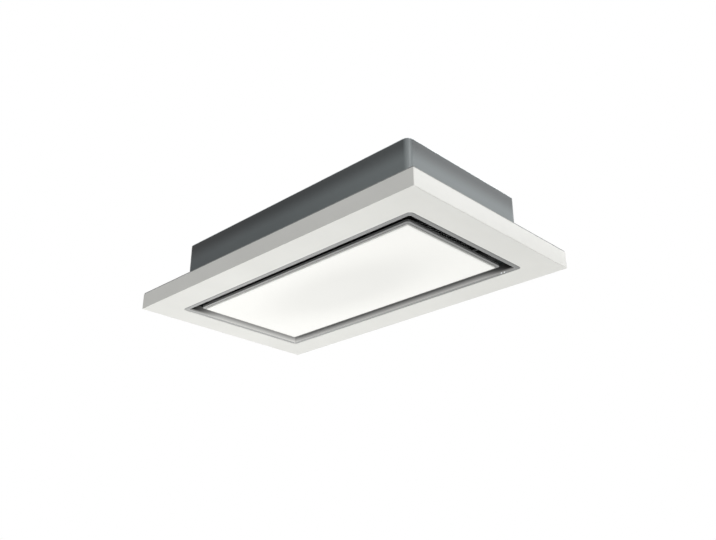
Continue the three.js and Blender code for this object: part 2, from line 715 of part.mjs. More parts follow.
// ---- Grease filters ----

// A filter is drawn about its own middle, with heights from its own underside.
function filterFrame() {
  const form = rectangle(FILTER_LENGTH, FILTER_DEPTH, FILTER_CORNER_RADIUS, EDGE_STEPS);
  const channel = ring(
    section(form, 0, 0),
    section(form, 0, FILTER_THICKNESS),
    section(form, FILTER_RIM, FILTER_THICKNESS),
    section(form, FILTER_RIM, FILTER_THICKNESS - FILTER_SHEET),
    section(form, FILTER_SHEET, FILTER_THICKNESS - FILTER_SHEET),
    section(form, FILTER_SHEET, FILTER_SHEET),
    section(form, FILTER_RIM, FILTER_SHEET),
    section(form, FILTER_RIM, 0),
  );
  const lugBottom = DECK_SHEET + SEAT_GAP;
  const lugs = [-0.5, 0.5].map((n) =>
    cuboid(
      FILTER_LUG_LENGTH, FILTER_GAP + FILTER_LUG_REACH + FILTER_SHEET, FILTER_SHEET, n * FILTER_LUG_SPACING,
      FILTER_DEPTH / 2 + (FILTER_GAP + FILTER_LUG_REACH - FILTER_SHEET) / 2, lugBottom,
    ),
  );
  const guide = LATCH_THICKNESS + 2 * SEAT_GAP;
  const notch = cuboid(
    LATCH_WIDTH + 2 * SEAT_GAP, 4 * FILTER_SHEET, guide, 0, -FILTER_DEPTH / 2, lugBottom - SEAT_GAP,
  );
  const gripGap = cuboid(
    LATCH_WIDTH + 2 * SEAT_GAP, FILTER_RIM, 2 * FILTER_SHEET, 0,
    -FILTER_DEPTH / 2 + FILTER_SHEET + FILTER_RIM / 2 + CUT_OVERRUN, -FILTER_SHEET,
  );
  return cut(join(channel, ...lugs), notch, gripGap);
}

// Pleated expanded mesh: a zigzag sheet between the rim's two flanges, notched for the latch.
function filterMedium() {
  // Its square corners just clear the round corners inside the rim.
  const inset = FILTER_SHEET + SEAT_GAP + (1 - Math.SQRT1_2) * (FILTER_CORNER_RADIUS - FILTER_SHEET);
  const length = FILTER_LENGTH - 2 * inset;
  const depth = FILTER_DEPTH - 2 * inset;
  const bottom = FILTER_SHEET + SEAT_GAP;
  const height = FILTER_THICKNESS - 2 * bottom;
  const sheet = FILTER_MESH_SHEET;
  const low = [];
  for (let i = 0; i <= 2 * FILTER_PLEATS; i++) {
    const x = (i / (2 * FILTER_PLEATS) - 0.5) * length;
    low.push(new THREE.Vector2(x, i % 2 ? height - sheet : 0));
  }
  const high = low.map((p) => new THREE.Vector2(p.x, p.y + sheet)).reverse();
  const sheetSolid = raised([...low, ...high], depth).rotateX(Math.PI / 2).translate(0, depth / 2, bottom);
  const notchDepth = LATCH_LENGTH + LATCH_TRAVEL + CUT_OVERRUN;
  const notchY = -FILTER_DEPTH / 2 + notchDepth / 2;
  const notchHeight = 2 * FILTER_THICKNESS;
  const notch = cuboid(FILTER_MESH_NOTCH, notchDepth, notchHeight, 0, notchY, -notchHeight / 4);
  return cut(sheetSolid, notch);
}

// Spring latch: a tongue over the deck's edge and a grip turned down at its inner end.
function filterLatch() {
  const tip = -FILTER_DEPTH / 2 - FILTER_GAP - LATCH_REACH;
  const heel = -FILTER_DEPTH / 2 + LATCH_LENGTH - LATCH_THICKNESS;
  const bottom = DECK_SHEET + SEAT_GAP;
  const strip = bentStrip(
    [
      [tip, bottom],
      [heel, bottom],
      [heel, bottom - LATCH_GRIP_DROP],
    ],
    LATCH_THICKNESS,
    LATCH_WIDTH,
  );
  return strip.rotateZ(Math.PI / 2);
}

function filters() {
  const frame = filterFrame();
  const medium = filterMedium();
  const latch = filterLatch();
  filterPlaces.forEach((x, i) => {
    const place = groupAt(x, 0, DECK_HEIGHT);
    piece(`filter_${i + 1}_frame`, frame, "aluminium", place);
    piece(`filter_${i + 1}_mesh`, medium, "aluminium", place);
    piece(`filter_${i + 1}_latch`, latch, "blackPlastic", place);
  });
}

// ---- Lit panel ----

function panel() {
  const form = rectangle(DIFFUSER_LENGTH, DIFFUSER_DEPTH, DIFFUSER_CORNER_RADIUS);
  const diffuser = block(
    section(form, DIFFUSER_EDGE_RADIUS, 0),
    section(form, 0, DIFFUSER_EDGE_RADIUS),
    section(form, 0, DIFFUSER_THICKNESS),
  );
  piece("diffuser", diffuser, "opalAcrylic");
  const trayBottom = DIFFUSER_THICKNESS + SEAT_GAP;
  const pan = block(
    section(form, 0, trayBottom),
    section(form, 0, PANEL_THICKNESS - TRAY_SHEET),
    section(form, TRAY_SHEET, PANEL_THICKNESS),
  );
  const rimForm = rectangle(PANEL_LENGTH, PANEL_DEPTH, PANEL_CORNER_RADIUS);
  const rim = slab(rimForm, trayBottom, trayBottom + PANEL_RIM_THICKNESS);
  const pocket = slab(grown(form, -TRAY_SHEET), trayBottom - CUT_OVERRUN, PANEL_THICKNESS - TRAY_SHEET);
  piece("panel_tray", cut(join(pan, rim), pocket), "brushedSteel");

  const coverForm = grown(form, -COVER_MARGIN);
  const coverBottom = PANEL_THICKNESS + SEAT_GAP;
  const cover = block(
    section(coverForm, 0, coverBottom),
    section(coverForm, 0, coverBottom + TRAY_SHEET),
    section(coverForm, COVER_HEIGHT, coverBottom + COVER_HEIGHT),
  );
  const coverPocket = block(
    section(coverForm, 2 * TRAY_SHEET, coverBottom - CUT_OVERRUN),
    section(coverForm, 2 * TRAY_SHEET, coverBottom),
    section(coverForm, COVER_HEIGHT + TRAY_SHEET, coverBottom + COVER_HEIGHT - TRAY_SHEET),
  );
  piece("panel_back_cover", cut(cover, coverPocket), "zincSteel");

  const stripDepth = DIFFUSER_DEPTH - 2 * LED_STRIP_INSET;
  const strip = bentStrip(
    [
      [0, 0],
      [LED_STRIP_WIDTH, 0],
      [LED_STRIP_WIDTH, -LED_STRIP_HEIGHT],
    ],
    TRAY_SHEET,
    stripDepth,
  );
  const stripX = DIFFUSER_LENGTH / 2 - LED_STRIP_INSET;
  const stripZ = PANEL_THICKNESS - 2 * TRAY_SHEET - SEAT_GAP;
  piece("led_strip_right", strip, "aluminium").position.set(stripX - LED_STRIP_WIDTH, 0, stripZ);
  const left = piece("led_strip_left", strip, "aluminium");
  left.position.set(-stripX + LED_STRIP_WIDTH, 0, stripZ);
  left.rotation.z = Math.PI;
}

function panelHinges() {
  const armX = HINGE_TONGUE / 2 + HINGE_SIDE_GAP + HINGE_EAR / 2;
  const armBottom = PANEL_THICKNESS + SEAT_GAP - HINGE_HEIGHT;
  const armLength = 2 * armX + HINGE_EAR;
  const armFoot = cuboid(
    armLength, HINGE_ARM_FOOT_DEPTH, BRACKET_SHEET, 0, -HINGE_ARM_SET_BACK, armBottom,
  );
  const eye = rod(PIN_RADIUS + PIN_CLEARANCE, 4 * armX, "x", 0, 0, 0);
  const ears = [-armX, armX].map((x) => eyePlate(HINGE_EAR, x, 0, armBottom, 2 * HINGE_EYE_RADIUS));
  const arm = cut(join(armFoot, ...ears), eye);
  const bracketTop = DECK_HEIGHT - SEAT_GAP - HINGE_HEIGHT;
  const bracketFoot = cuboid(
    BRACKET_FOOT_LENGTH, HINGE_FOOT_DEPTH, BRACKET_SHEET, 0, 0, bracketTop - BRACKET_SHEET,
  );
  const tongue = eyePlate(HINGE_TONGUE, 0, 0, bracketTop, 2 * HINGE_EYE_RADIUS);
  const bracket = cut(join(bracketFoot, tongue), eye);
  const half = armX + HINGE_EAR / 2 + SEAT_GAP;
  const pin = turned(
    [
      [0, -half - PIN_HEAD_THICKNESS],
      [PIN_HEAD_RADIUS, -half - PIN_HEAD_THICKNESS],
      [PIN_HEAD_RADIUS, -half],
      [PIN_RADIUS, -half],
      [PIN_RADIUS, half],
      [PIN_HEAD_RADIUS, half],
      [PIN_HEAD_RADIUS, half + PIN_HEAD_THICKNESS],
      [0, half + PIN_HEAD_THICKNESS],
    ],
    SMALL_ROUND_STEPS,
  ).rotateY(Math.PI / 2);
  for (const [end, x] of [
    ["left", -HINGE_SPACING / 2],
    ["right", HINGE_SPACING / 2],
  ]) {
    const place = groupAt(x, PANEL_PIVOT_Y, HINGE_HEIGHT);
    piece(`hinge_arm_${end}`, arm, "zincSteel", place);
    piece(`hinge_bracket_${end}`, bracket, "zincSteel", place);
    piece(`hinge_pin_${end}`, pin, "turnedSteel", place);
  }
}

// Magnets on posts under the deck hold the panel's front edge up by its catch plates.
function panelCatches() {
  const plateBottom = PANEL_THICKNESS + SEAT_GAP;
  const plateTop = plateBottom + CATCH_PLATE_THICKNESS;
  const plate = cuboid(CATCH_PLATE_LENGTH, CATCH_SIZE, CATCH_PLATE_THICKNESS, 0, 0, plateBottom);
  const postBottom = plateTop + SEAT_GAP;
  const postTop = DECK_HEIGHT - SEAT_GAP;
  const foot = cuboid(CATCH_FOOT_LENGTH, CATCH_SIZE, BRACKET_SHEET, 0, 0, postTop - BRACKET_SHEET);
  const postForm = rectangle(CATCH_POST_LENGTH, CATCH_SIZE, CATCH_POST_RADIUS, EDGE_STEPS);
  const post = join(slab(postForm, postBottom, postTop - BRACKET_SHEET / 2), foot);
  for (const [end, x] of [
    ["left", -HINGE_SPACING / 2],
    ["right", HINGE_SPACING / 2],
  ]) {
    const place = groupAt(x, CATCH_Y, 0);
    piece(`catch_plate_${end}`, plate, "zincSteel", place);
    piece(`catch_magnet_${end}`, post, "blackPlastic", place);
  }
}

// ---- Blower, drawn about the shaft with heights from the scroll's inner floor ----

const blower = groupAt(BLOWER_X, 0, SCROLL_FLOOR);

// The spiral and its straight throat, with a wall's thickness added where a piece is the outside.
function scrollBlock(wall, bottom, top, overrun = 0) {
  const start = THREE.MathUtils.degToRad(TONGUE_ANGLE);
  const end = Math.PI * 2.5;
  const outline = [];
  for (let i = 0; i <= SCROLL_STEPS; i++) {
    const t = i / SCROLL_STEPS;
    const angle = start + (end - start) * t;
    const radius = SCROLL_START_RADIUS + SCROLL_RISE * t + wall;
    outline.push(new THREE.Vector2(radius * Math.cos(angle), radius * Math.sin(angle)));
  }
  const spiral = raised(outline, top - bottom).translate(0, 0, bottom);
  const length = THROAT_LENGTH + overrun;
  const throat = cuboid(length, THROAT_WIDTH + 2 * wall, top - bottom, -length / 2, OUTLET_Y, bottom);
  return join(spiral, throat);
}

function scroll() {
  const outer = scrollBlock(SCROLL_SHEET, -SCROLL_SHEET, SCROLL_HEIGHT);
  const inner = scrollBlock(0, 0, SCROLL_HEIGHT + CUT_OVERRUN, CUT_OVERRUN);
  const holeRadius = INLET_THROAT_DIAMETER / 2 + INLET_HOLE_MARGIN;
  const inletHole = rod(holeRadius, 4 * SCROLL_SHEET, "z", 0, 0, 0, ROUND_STEPS);
  piece("scroll_housing", cut(outer, inner, inletHole), "zincSteel", blower);

  const coverBottom = SCROLL_HEIGHT + SEAT_GAP;
  const coverTop = coverBottom + SCROLL_SHEET;
  const footTop = LID_BOTTOM - SEAT_GAP - SCROLL_FLOOR;
  const sheet = scrollBlock(SCROLL_SHEET, coverBottom, coverTop);
  // Hat-shaped feet carry the blower under the casing's lid.
  const foot = bentStrip(
    [
      [-SCROLL_FOOT_LENGTH, coverBottom + SCROLL_SHEET / 2],
      [-SCROLL_FOOT_LENGTH / 2, coverBottom + SCROLL_SHEET / 2],
      [-SCROLL_FOOT_LENGTH / 2, footTop - SCROLL_SHEET],
      [SCROLL_FOOT_LENGTH / 2, footTop - SCROLL_SHEET],
      [SCROLL_FOOT_LENGTH / 2, coverBottom + SCROLL_SHEET / 2],
      [SCROLL_FOOT_LENGTH, coverBottom + SCROLL_SHEET / 2],
    ],
    SCROLL_SHEET,
    SCROLL_FOOT_WIDTH,
  );
  const footRadius = SCROLL_START_RADIUS - SCROLL_FOOT_WIDTH / 2;
  const feet = [0.25, 0.75, 1.25, 1.75].map((halfTurns) =>
    foot.clone().translate(0, footRadius, 0).rotateZ(halfTurns * Math.PI),
  );
  const wireHole = rod(MOTOR_DIAMETER / 4, 4 * SCROLL_SHEET, "z", 0, 0, coverBottom);
  piece("scroll_cover", cut(join(sheet, ...feet), wireHole), "zincSteel", blower);
}

// Bell-mouthed inlet that guides air into the cage.
function inletRing() {
  const throat = INLET_THROAT_DIAMETER / 2;
  const flare = INLET_DEPTH;
  const underside = -SCROLL_SHEET - SEAT_GAP;
  const bend = Array.from({ length: BEND_STATIONS + 1 }, (_, i) => (i * Math.PI) / 2 / BEND_STATIONS);
  const inner = bend.map((angle) => [
    throat + flare * (1 - Math.sin(angle)),
    underside - INLET_SHEET - flare * Math.cos(angle),
  ]);
  const outer = inner.map(([r, z]) => [r + INLET_SHEET, z]).reverse();
  const lift = IMPELLER_FLOOR_GAP + IMPELLER_RIM / 2;
  const profile = [
    ...inner,
    [throat, lift],
    [throat + INLET_SHEET, lift],
    [throat + INLET_SHEET, underside],
    [INLET_LIP_DIAMETER / 2, underside],
    [INLET_LIP_DIAMETER / 2, underside - INLET_SHEET],
    [throat + INLET_SHEET * 2, underside - INLET_SHEET],
    ...outer.slice(1),
  ];
  piece("inlet_ring", turned(profile), "zincSteel", blower);
}

// One forward-curved blade: an arc that leads more and more towards its tip.
function blade(bottom, height) {
  const middle = Array.from({ length: BLADE_STATIONS + 1 }, (_, i) => {
    const t = i / BLADE_STATIONS;
    const radius = BLADE_ROOT_RADIUS + BLADE_END_INSET + (BLADE_DEPTH - 2 * BLADE_END_INSET) * t;
    const angle = BLADE_SWEEP * t * t;
    return new THREE.Vector2(radius * Math.cos(angle), radius * Math.sin(angle));
  });
  const sides = middle.map((p, i) => {
    const next = middle[Math.min(i + 1, BLADE_STATIONS)];
    const along = next.clone().sub(middle[Math.max(i - 1, 0)]).normalize();
    return new THREE.Vector2(-along.y, along.x).multiplyScalar(BLADE_SHEET / 2);
  });
  const right = middle.map((p, i) => p.clone().sub(sides[i]));
  const left = middle.map((p, i) => p.clone().add(sides[i])).reverse();
  return raised([...right, ...left], height).translate(0, 0, bottom);
}

function impeller() {
  const bottom = IMPELLER_FLOOR_GAP;
  const top = bottom + IMPELLER_HEIGHT;
  const cup = HUB_CUP_DIAMETER / 2;
  const floor = top - HUB_CUP_DEPTH;
  const bore = SHAFT_DIAMETER / 2 + SEAT_GAP;
  const lowerRim = turned([
    [BLADE_ROOT_RADIUS, bottom],
    [IMPELLER_RADIUS, bottom],
    [IMPELLER_RADIUS, bottom + IMPELLER_RIM],
    [BLADE_ROOT_RADIUS, bottom + IMPELLER_RIM],
  ]);
  // The back plate dips into a cup that goes round the motor and ends in the shaft's boss.
  const edge = BLADE_ROOT_RADIUS - BACK_PLATE_EDGE;
  const slope = Array.from({ length: BACK_PLATE_STATIONS + 1 }, (_, i) => {
    const t = i / BACK_PLATE_STATIONS;
    return [edge - (edge - cup) * t, top - BACK_PLATE_DIP * t * t];
  });
  const above = [[IMPELLER_RADIUS, top], ...slope, [cup, floor + HUB_SHEET], [bore, floor + HUB_SHEET]];
  const below = [
    [bore, floor - HUB_BOSS_HEIGHT],
    [HUB_BOSS_DIAMETER / 2, floor - HUB_BOSS_HEIGHT],
    [HUB_BOSS_DIAMETER / 2, floor],
    [cup + HUB_SHEET, floor],
    ...slope.map(([r, z]) => [r + HUB_SHEET, z - IMPELLER_RIM]).reverse(),
    [IMPELLER_RADIUS, top - IMPELLER_RIM],
  ];
  const plate = turned([...above, ...below]);
  const reach = IMPELLER_HEIGHT - IMPELLER_RIM;
  const blades = Array.from({ length: BLADE_COUNT }, (_, i) =>
    blade(bottom + IMPELLER_RIM / 2, reach).rotateZ((i * 2 * Math.PI) / BLADE_COUNT),
  );
  piece("impeller", join(plate, lowerRim, ...blades), "blackPlastic", blower);
}

function motor() {
  const top = SCROLL_HEIGHT;
  const radius = MOTOR_DIAMETER / 2;
  const bottom = top - MOTOR_HEIGHT;
  const shaftTop = bottom + SHAFT_LENGTH / 2;
  const bore = SHAFT_DIAMETER / 2 + SEAT_GAP;
  const can = turned([
    [0, shaftTop + SEAT_GAP],
    [bore, shaftTop + SEAT_GAP],
    [bore, bottom],
    [radius - MOTOR_EDGE, bottom],
    [radius, bottom + MOTOR_EDGE],
    [radius, top - MOTOR_FLANGE_THICKNESS - MOTOR_SHOULDER_DROP],
    [radius - MOTOR_SHOULDER, top - MOTOR_FLANGE_THICKNESS],
    [MOTOR_FLANGE_DIAMETER / 2, top - MOTOR_FLANGE_THICKNESS],
    [MOTOR_FLANGE_DIAMETER / 2, top],
    [0, top],
  ]);
  piece("motor", can, "zincSteel", blower);
  const shaft = turned(
    [
      [0, shaftTop - SHAFT_LENGTH],
      [SHAFT_DIAMETER / 2 - SHAFT_CHAMFER, shaftTop - SHAFT_LENGTH],
      [SHAFT_DIAMETER / 2, shaftTop - SHAFT_LENGTH + SHAFT_CHAMFER],
      [SHAFT_DIAMETER / 2, shaftTop],
      [0, shaftTop],
    ],
    SMALL_ROUND_STEPS,
  );
  piece("motor_shaft", shaft, "turnedSteel", blower);
}

// ---- Outlet: a duct from the square throat to the round collar ----

function outletDuct() {
  const bore = OUTLET_RADIUS - OUTLET_SHEET;
  const throatX = BLOWER_X - THROAT_LENGTH - SEAT_GAP;
  const collarX = -BODY_END + OUTLET_INNER_LENGTH + SEAT_GAP;
  const square = (grow, x) =>
    Array.from({ length: ROUND_STEPS }, (_, i) => {
      const angle = ((i + 0.5) * 2 * Math.PI) / ROUND_STEPS;
      const [c, s] = [Math.cos(angle), Math.sin(angle)];
      const [halfY, halfZ] = [THROAT_WIDTH / 2 + grow, SCROLL_HEIGHT / 2 + grow];
      const reach = Math.min(halfY / Math.abs(c), halfZ / Math.abs(s));
      return new THREE.Vector3(x, OUTLET_Y + reach * c, OUTLET_Z + reach * s);
    });
  const round = (radius, x) =>
    Array.from({ length: ROUND_STEPS }, (_, i) => {
      const angle = ((i + 0.5) * 2 * Math.PI) / ROUND_STEPS;
      return new THREE.Vector3(x, OUTLET_Y + radius * Math.cos(angle), OUTLET_Z + radius * Math.sin(angle));
    });
  const duct = ring(
    square(SCROLL_SHEET, throatX),
    round(OUTLET_RADIUS, collarX),
    round(bore, collarX),
    square(0, throatX),
  );
  piece("discharge_duct", duct, "zincSteel");
}

const outlet = groupAt(-BODY_END, OUTLET_Y, OUTLET_Z);
const FLAP_X = OUTLET_INNER_LENGTH - FLAP_SETBACK;

// The collar is turned about its own axis, then laid along X with its mouth pointing away from the casing.
function outletCollar() {
  const bore = OUTLET_RADIUS - OUTLET_SHEET;
  const flange = OUTLET_RADIUS + OUTLET_FLANGE_WIDTH;
  const stop = -FLAP_X - FLAP_SHEET / 2 - SEAT_GAP;
  const profile = [
    [bore, -OUTLET_INNER_LENGTH],
    [OUTLET_RADIUS, -OUTLET_INNER_LENGTH],
    [OUTLET_RADIUS, SEAT_GAP],
    [flange, SEAT_GAP],
    [flange, SEAT_GAP + OUTLET_FLANGE_THICKNESS],
    [OUTLET_RADIUS, SEAT_GAP + OUTLET_FLANGE_THICKNESS],
    [OUTLET_RADIUS, OUTLET_LENGTH - OUTLET_BEAD_SETBACK - OUTLET_BEAD_WIDTH / 2],
    [OUTLET_RADIUS + OUTLET_BEAD, OUTLET_LENGTH - OUTLET_BEAD_SETBACK],
    [OUTLET_RADIUS, OUTLET_LENGTH - OUTLET_BEAD_SETBACK + OUTLET_BEAD_WIDTH / 2],
    [OUTLET_RADIUS, OUTLET_LENGTH],
    [bore, OUTLET_LENGTH],
    [bore, stop],
    [bore - FLAP_STOP_WIDTH, stop],
    [bore - FLAP_STOP_WIDTH, stop - FLAP_STOP_THICKNESS],
    [bore, stop - FLAP_STOP_THICKNESS],
  ];
  const pinHole = rod(FLAP_PIN_RADIUS + SEAT_GAP, 2 * OUTLET_DIAMETER, "z", FLAP_X, 0, 0);
  const collar = cut(turned(profile).rotateY(-Math.PI / 2), pinHole);
  piece("outlet_collar", collar, "blackPlastic", outlet);
  const pinLength = OUTLET_DIAMETER - 2 * SEAT_GAP;
  piece("damper_pin", rod(FLAP_PIN_RADIUS, pinLength, "z", FLAP_X, 0, 0), "turnedSteel", outlet);
}

// Two half-round flaps share the pin: each has two knuckles, which interleave with the other's.
function damperFlaps() {
  const radius = OUTLET_RADIUS - OUTLET_SHEET - FLAP_RIM_GAP;
  const root = FLAP_KNUCKLE_RADIUS + 2 * SEAT_GAP;
  const start = Math.asin(root / radius);
  const outline = Array.from({ length: ROUND_STEPS / 2 + 1 }, (_, i) => {
    const angle = start + ((Math.PI - 2 * start) * i) / (ROUND_STEPS / 2);
    return new THREE.Vector2(radius * Math.cos(angle), radius * Math.sin(angle));
  });
  // Drawn in XY: its Y becomes the part's Y and its X becomes the part's Z.
  const leaf = raised(outline, FLAP_SHEET).translate(0, 0, -FLAP_SHEET / 2);
  leaf.rotateY(-Math.PI / 2);
  const pitch = FLAP_KNUCKLE_LENGTH + SEAT_GAP;
  const bore = rod(FLAP_PIN_RADIUS + SEAT_GAP, 2 * OUTLET_DIAMETER, "z", 0, 0, 0);
  const tabStart = (FLAP_PIN_RADIUS + FLAP_KNUCKLE_RADIUS) / 2;
  const tabEnd = root + CUT_OVERRUN;
  const tabMiddle = (tabStart + tabEnd) / 2;
  const flap = (places) => {
    const knuckles = places.map((z) => rod(FLAP_KNUCKLE_RADIUS, FLAP_KNUCKLE_LENGTH, "z", 0, 0, z));
    const tabs = places.map((z) =>
      cuboid(FLAP_SHEET, tabEnd - tabStart, FLAP_KNUCKLE_LENGTH, 0, tabMiddle, z - FLAP_KNUCKLE_LENGTH / 2),
    );
    return cut(join(leaf, ...knuckles, ...tabs), bore);
  };
  const rear = piece("damper_flap_rear", flap([-1.5 * pitch, 0.5 * pitch]), "aluminium", outlet);
  rear.position.x = FLAP_X;
  const front = piece("damper_flap_front", flap([0.5 * pitch, -1.5 * pitch]), "aluminium", outlet);
  front.position.x = FLAP_X;
  front.rotation.x = Math.PI;
}

// ---- Electrics under the lid ----

function electrics() {
  const top = LID_BOTTOM - SEAT_GAP;
  const boxForm = rectangle(CONTROL_LENGTH, CONTROL_DEPTH, CONTROL_CORNER_RADIUS, EDGE_STEPS);
  const bottom = top - CONTROL_HEIGHT;
  const box = slab(boxForm, bottom + CONTROL_SHEET + SEAT_GAP, top);
  const pocket = slab(grown(boxForm, -CONTROL_SHEET), bottom, top - CONTROL_SHEET);
  const cableEntry = rod(
    CONTROL_CABLE_HOLE / 2, 4 * CONTROL_SHEET, "x", CONTROL_LENGTH / 2, 0, top - CONTROL_HEIGHT / 2,
  );
  const place = groupAt(CONTROL_X, CONTROL_Y, 0);
  piece("control_box", cut(box, pocket, cableEntry), "zincSteel", place);
  const lid = block(
    section(boxForm, CONTROL_SHEET, bottom),
    section(boxForm, 0, bottom + CONTROL_SHEET),
  );
  piece("control_box_cover", lid, "zincSteel", place);

  const driverForm = rectangle(DRIVER_LENGTH, DRIVER_DEPTH, DRIVER_CORNER_RADIUS, EDGE_STEPS);
  const driver = softEdged(driverForm, top - DRIVER_HEIGHT, top, DRIVER_EDGE_RADIUS);
  piece("led_driver", driver, "greyPlastic").position.set(DRIVER_X, DRIVER_Y, 0);

  const radius = GLAND_DIAMETER / 2;
  const gland = turned(
    [
      [radius / 2, LID_BOTTOM - GLAND_TAIL],
      [radius, LID_BOTTOM - GLAND_TAIL],
      [radius, BODY_HEIGHT + SEAT_GAP],
      [radius + GLAND_HEX_MARGIN, BODY_HEIGHT + SEAT_GAP],
      [radius + GLAND_HEX_MARGIN, BODY_HEIGHT + GLAND_HEX_HEIGHT],
      [radius, BODY_HEIGHT + GLAND_HEIGHT - GLAND_DOME_HEIGHT],
      [GLAND_MOUTH_DIAMETER / 2, BODY_HEIGHT + GLAND_HEIGHT],
      [radius / 2, BODY_HEIGHT + GLAND_HEIGHT],
    ],
    SMALL_ROUND_STEPS,
  );
  piece("cable_gland", gland, "greyPlastic").position.set(GLAND_X, GLAND_Y, 0);
}

surround();
frameClamps();
casing();
hangers();
trim();
filterDeck();
filters();
panel();
panelHinges();
panelCatches();
scroll();
inletRing();
impeller();
motor();
outletDuct();
outletCollar();
damperFlaps();
electrics();

export default hood;
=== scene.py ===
# Ceiling range hood: finishes, fasteners and fine-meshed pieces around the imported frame.
# +Z is up and +X runs along the hood. The origin is the centre of the ceiling plane.
# Camera, floor and lights are in metres. The hood's own pieces and patterns are drawn in mm.

import json
import math
from itertools import product

import bmesh
import bpy
from mathutils import Matrix, Vector


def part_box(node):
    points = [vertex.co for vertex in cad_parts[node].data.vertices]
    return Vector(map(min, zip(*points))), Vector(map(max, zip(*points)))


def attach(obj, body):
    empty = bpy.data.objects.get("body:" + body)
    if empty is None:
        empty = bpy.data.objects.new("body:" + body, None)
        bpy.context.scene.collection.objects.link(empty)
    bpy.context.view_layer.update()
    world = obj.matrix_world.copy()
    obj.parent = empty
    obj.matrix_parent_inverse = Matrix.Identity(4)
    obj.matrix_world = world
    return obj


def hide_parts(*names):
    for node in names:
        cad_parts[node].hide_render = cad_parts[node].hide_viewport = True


MM = 0.001

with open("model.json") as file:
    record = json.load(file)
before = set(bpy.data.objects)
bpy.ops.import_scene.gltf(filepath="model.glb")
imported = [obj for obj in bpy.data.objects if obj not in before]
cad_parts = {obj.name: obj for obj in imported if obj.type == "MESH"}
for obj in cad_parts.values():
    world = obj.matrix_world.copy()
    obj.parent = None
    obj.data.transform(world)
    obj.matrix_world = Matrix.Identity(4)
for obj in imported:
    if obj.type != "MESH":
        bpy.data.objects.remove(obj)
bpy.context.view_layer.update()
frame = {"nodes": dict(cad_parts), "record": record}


# ---- Camera, floor and light ----

# The camera that the photograph's straight edges give.
CAMERA_PLACE = Vector((1.7443, -1.7183, -1.0644))
CAMERA_HEADING = -0.7726  # radians from +Y towards +X
CAMERA_RISE = 0.4143  # radians above level
CAMERA_LENS = 42.03  # mm
SENSOR_WIDTH = 36.0  # mm

FLOOR_HEIGHT = -2.6  # an ordinary room's floor below the ceiling
FLOOR_SIZE = 400.0
FLOOR_LIFT = 0.34  # how much paler the floor looks than the light on it makes it

WORLD_LIGHT = 0.36  # soft light from all round
BACKDROP_WHITE = 1.0  # what the eye and mirrors see behind the hood

# Name, place, aim, width, height, power in watts.
SOFT_BOXES = (
    ("right_softbox", (2.9, 0.9, 1.1), (0, 0, 0), 2.6, 2.6, 33),
    ("low_softbox", (-0.65, 0.0, -2.2), (-0.1, 0, 0), 2.4, 2.4, 36.5),
    ("top_softbox", (0.0, -0.3, 2.6), (0, 0, 0.1), 2.0, 2.0, 15),
    ("front_softbox", (3.0, -1.25, 1.8), (0.5, -0.25, 0.1), 0.8, 0.7, 20),
    ("left_softbox", (-1.8, -3.2, 2.4), (0.5, -0.25, 0.1), 1.5, 1.5, 8.5),
    ("rear_softbox", (2.9, 3.2, 2.4), (0.5, 0.0, 0.1), 2.2, 1.4, 29),
)


def make_camera():
    level = math.cos(CAMERA_RISE)
    ahead = Vector(
        (
            math.sin(CAMERA_HEADING) * level,
            math.cos(CAMERA_HEADING) * level,
            math.sin(CAMERA_RISE),
        )
    )
    right = Vector((math.cos(CAMERA_HEADING), -math.sin(CAMERA_HEADING), 0))
    turned = Matrix((right, right.cross(ahead), -ahead)).transposed().to_4x4()
    data = bpy.data.cameras.new("photo_view")
    data.sensor_width = SENSOR_WIDTH
    data.lens = CAMERA_LENS
    camera = bpy.data.objects.new("photo_view", data)
    camera.matrix_world = Matrix.Translation(CAMERA_PLACE) @ turned
    bpy.context.scene.collection.objects.link(camera)
    bpy.context.scene.camera = camera


def srgb(text):
    """A six-digit sRGB hex value as a linear colour with alpha."""
    levels = [int(text[i : i + 2], 16) / 255 for i in (0, 2, 4)]
    linear = [v / 12.92 if v <= 0.04045 else ((v + 0.055) / 1.055) ** 2.4 for v in levels]
    return (*linear, 1.0)


def add(tree, kind, inputs=None, to=None, **settings):
    """Adds a node with its settings, fills or links its inputs, and links its first output on."""
    made = tree.nodes.new(kind)
    for name, value in settings.items():
        setattr(made, name, value)
    for name, value in (inputs or {}).items():
        if isinstance(value, bpy.types.NodeSocket):
            tree.links.new(value, made.inputs[name])
        else:
            made.inputs[name].default_value = value
    if to:
        tree.links.new(next(output for output in made.outputs if output.enabled), to)
    return made


def seen_directly(tree):
    """1 for rays from the camera, a mirror or glass, 0 for the light that falls on things."""
    path = add(tree, "ShaderNodeLightPath")
    mirrored = add(
        tree,
        "ShaderNodeMath",
        {0: path.outputs["Is Camera Ray"], 1: path.outputs["Is Glossy Ray"]},
        operation="MAXIMUM",
    )
    return add(
        tree,
        "ShaderNodeMath",
        {0: mirrored.outputs[0], 1: path.outputs["Is Transmission Ray"]},
        operation="MAXIMUM",
    ).outputs[0]


def make_world():
    world = bpy.data.worlds.new("studio")
    world.use_nodes = True
    tree = world.node_tree
    tree.nodes.clear()
    soft, white = (
        add(tree, "ShaderNodeBackground", {"Color": srgb("ffffff"), "Strength": strength})
        for strength in (WORLD_LIGHT, BACKDROP_WHITE)
    )
    choice = add(
        tree,
        "ShaderNodeMixShader",
        {0: seen_directly(tree), 1: soft.outputs[0], 2: white.outputs[0]},
    )
    add(tree, "ShaderNodeOutputWorld", {"Surface": choice.outputs[0]})
    bpy.context.scene.world = world
    bpy.context.scene.view_settings.view_transform = "Standard"


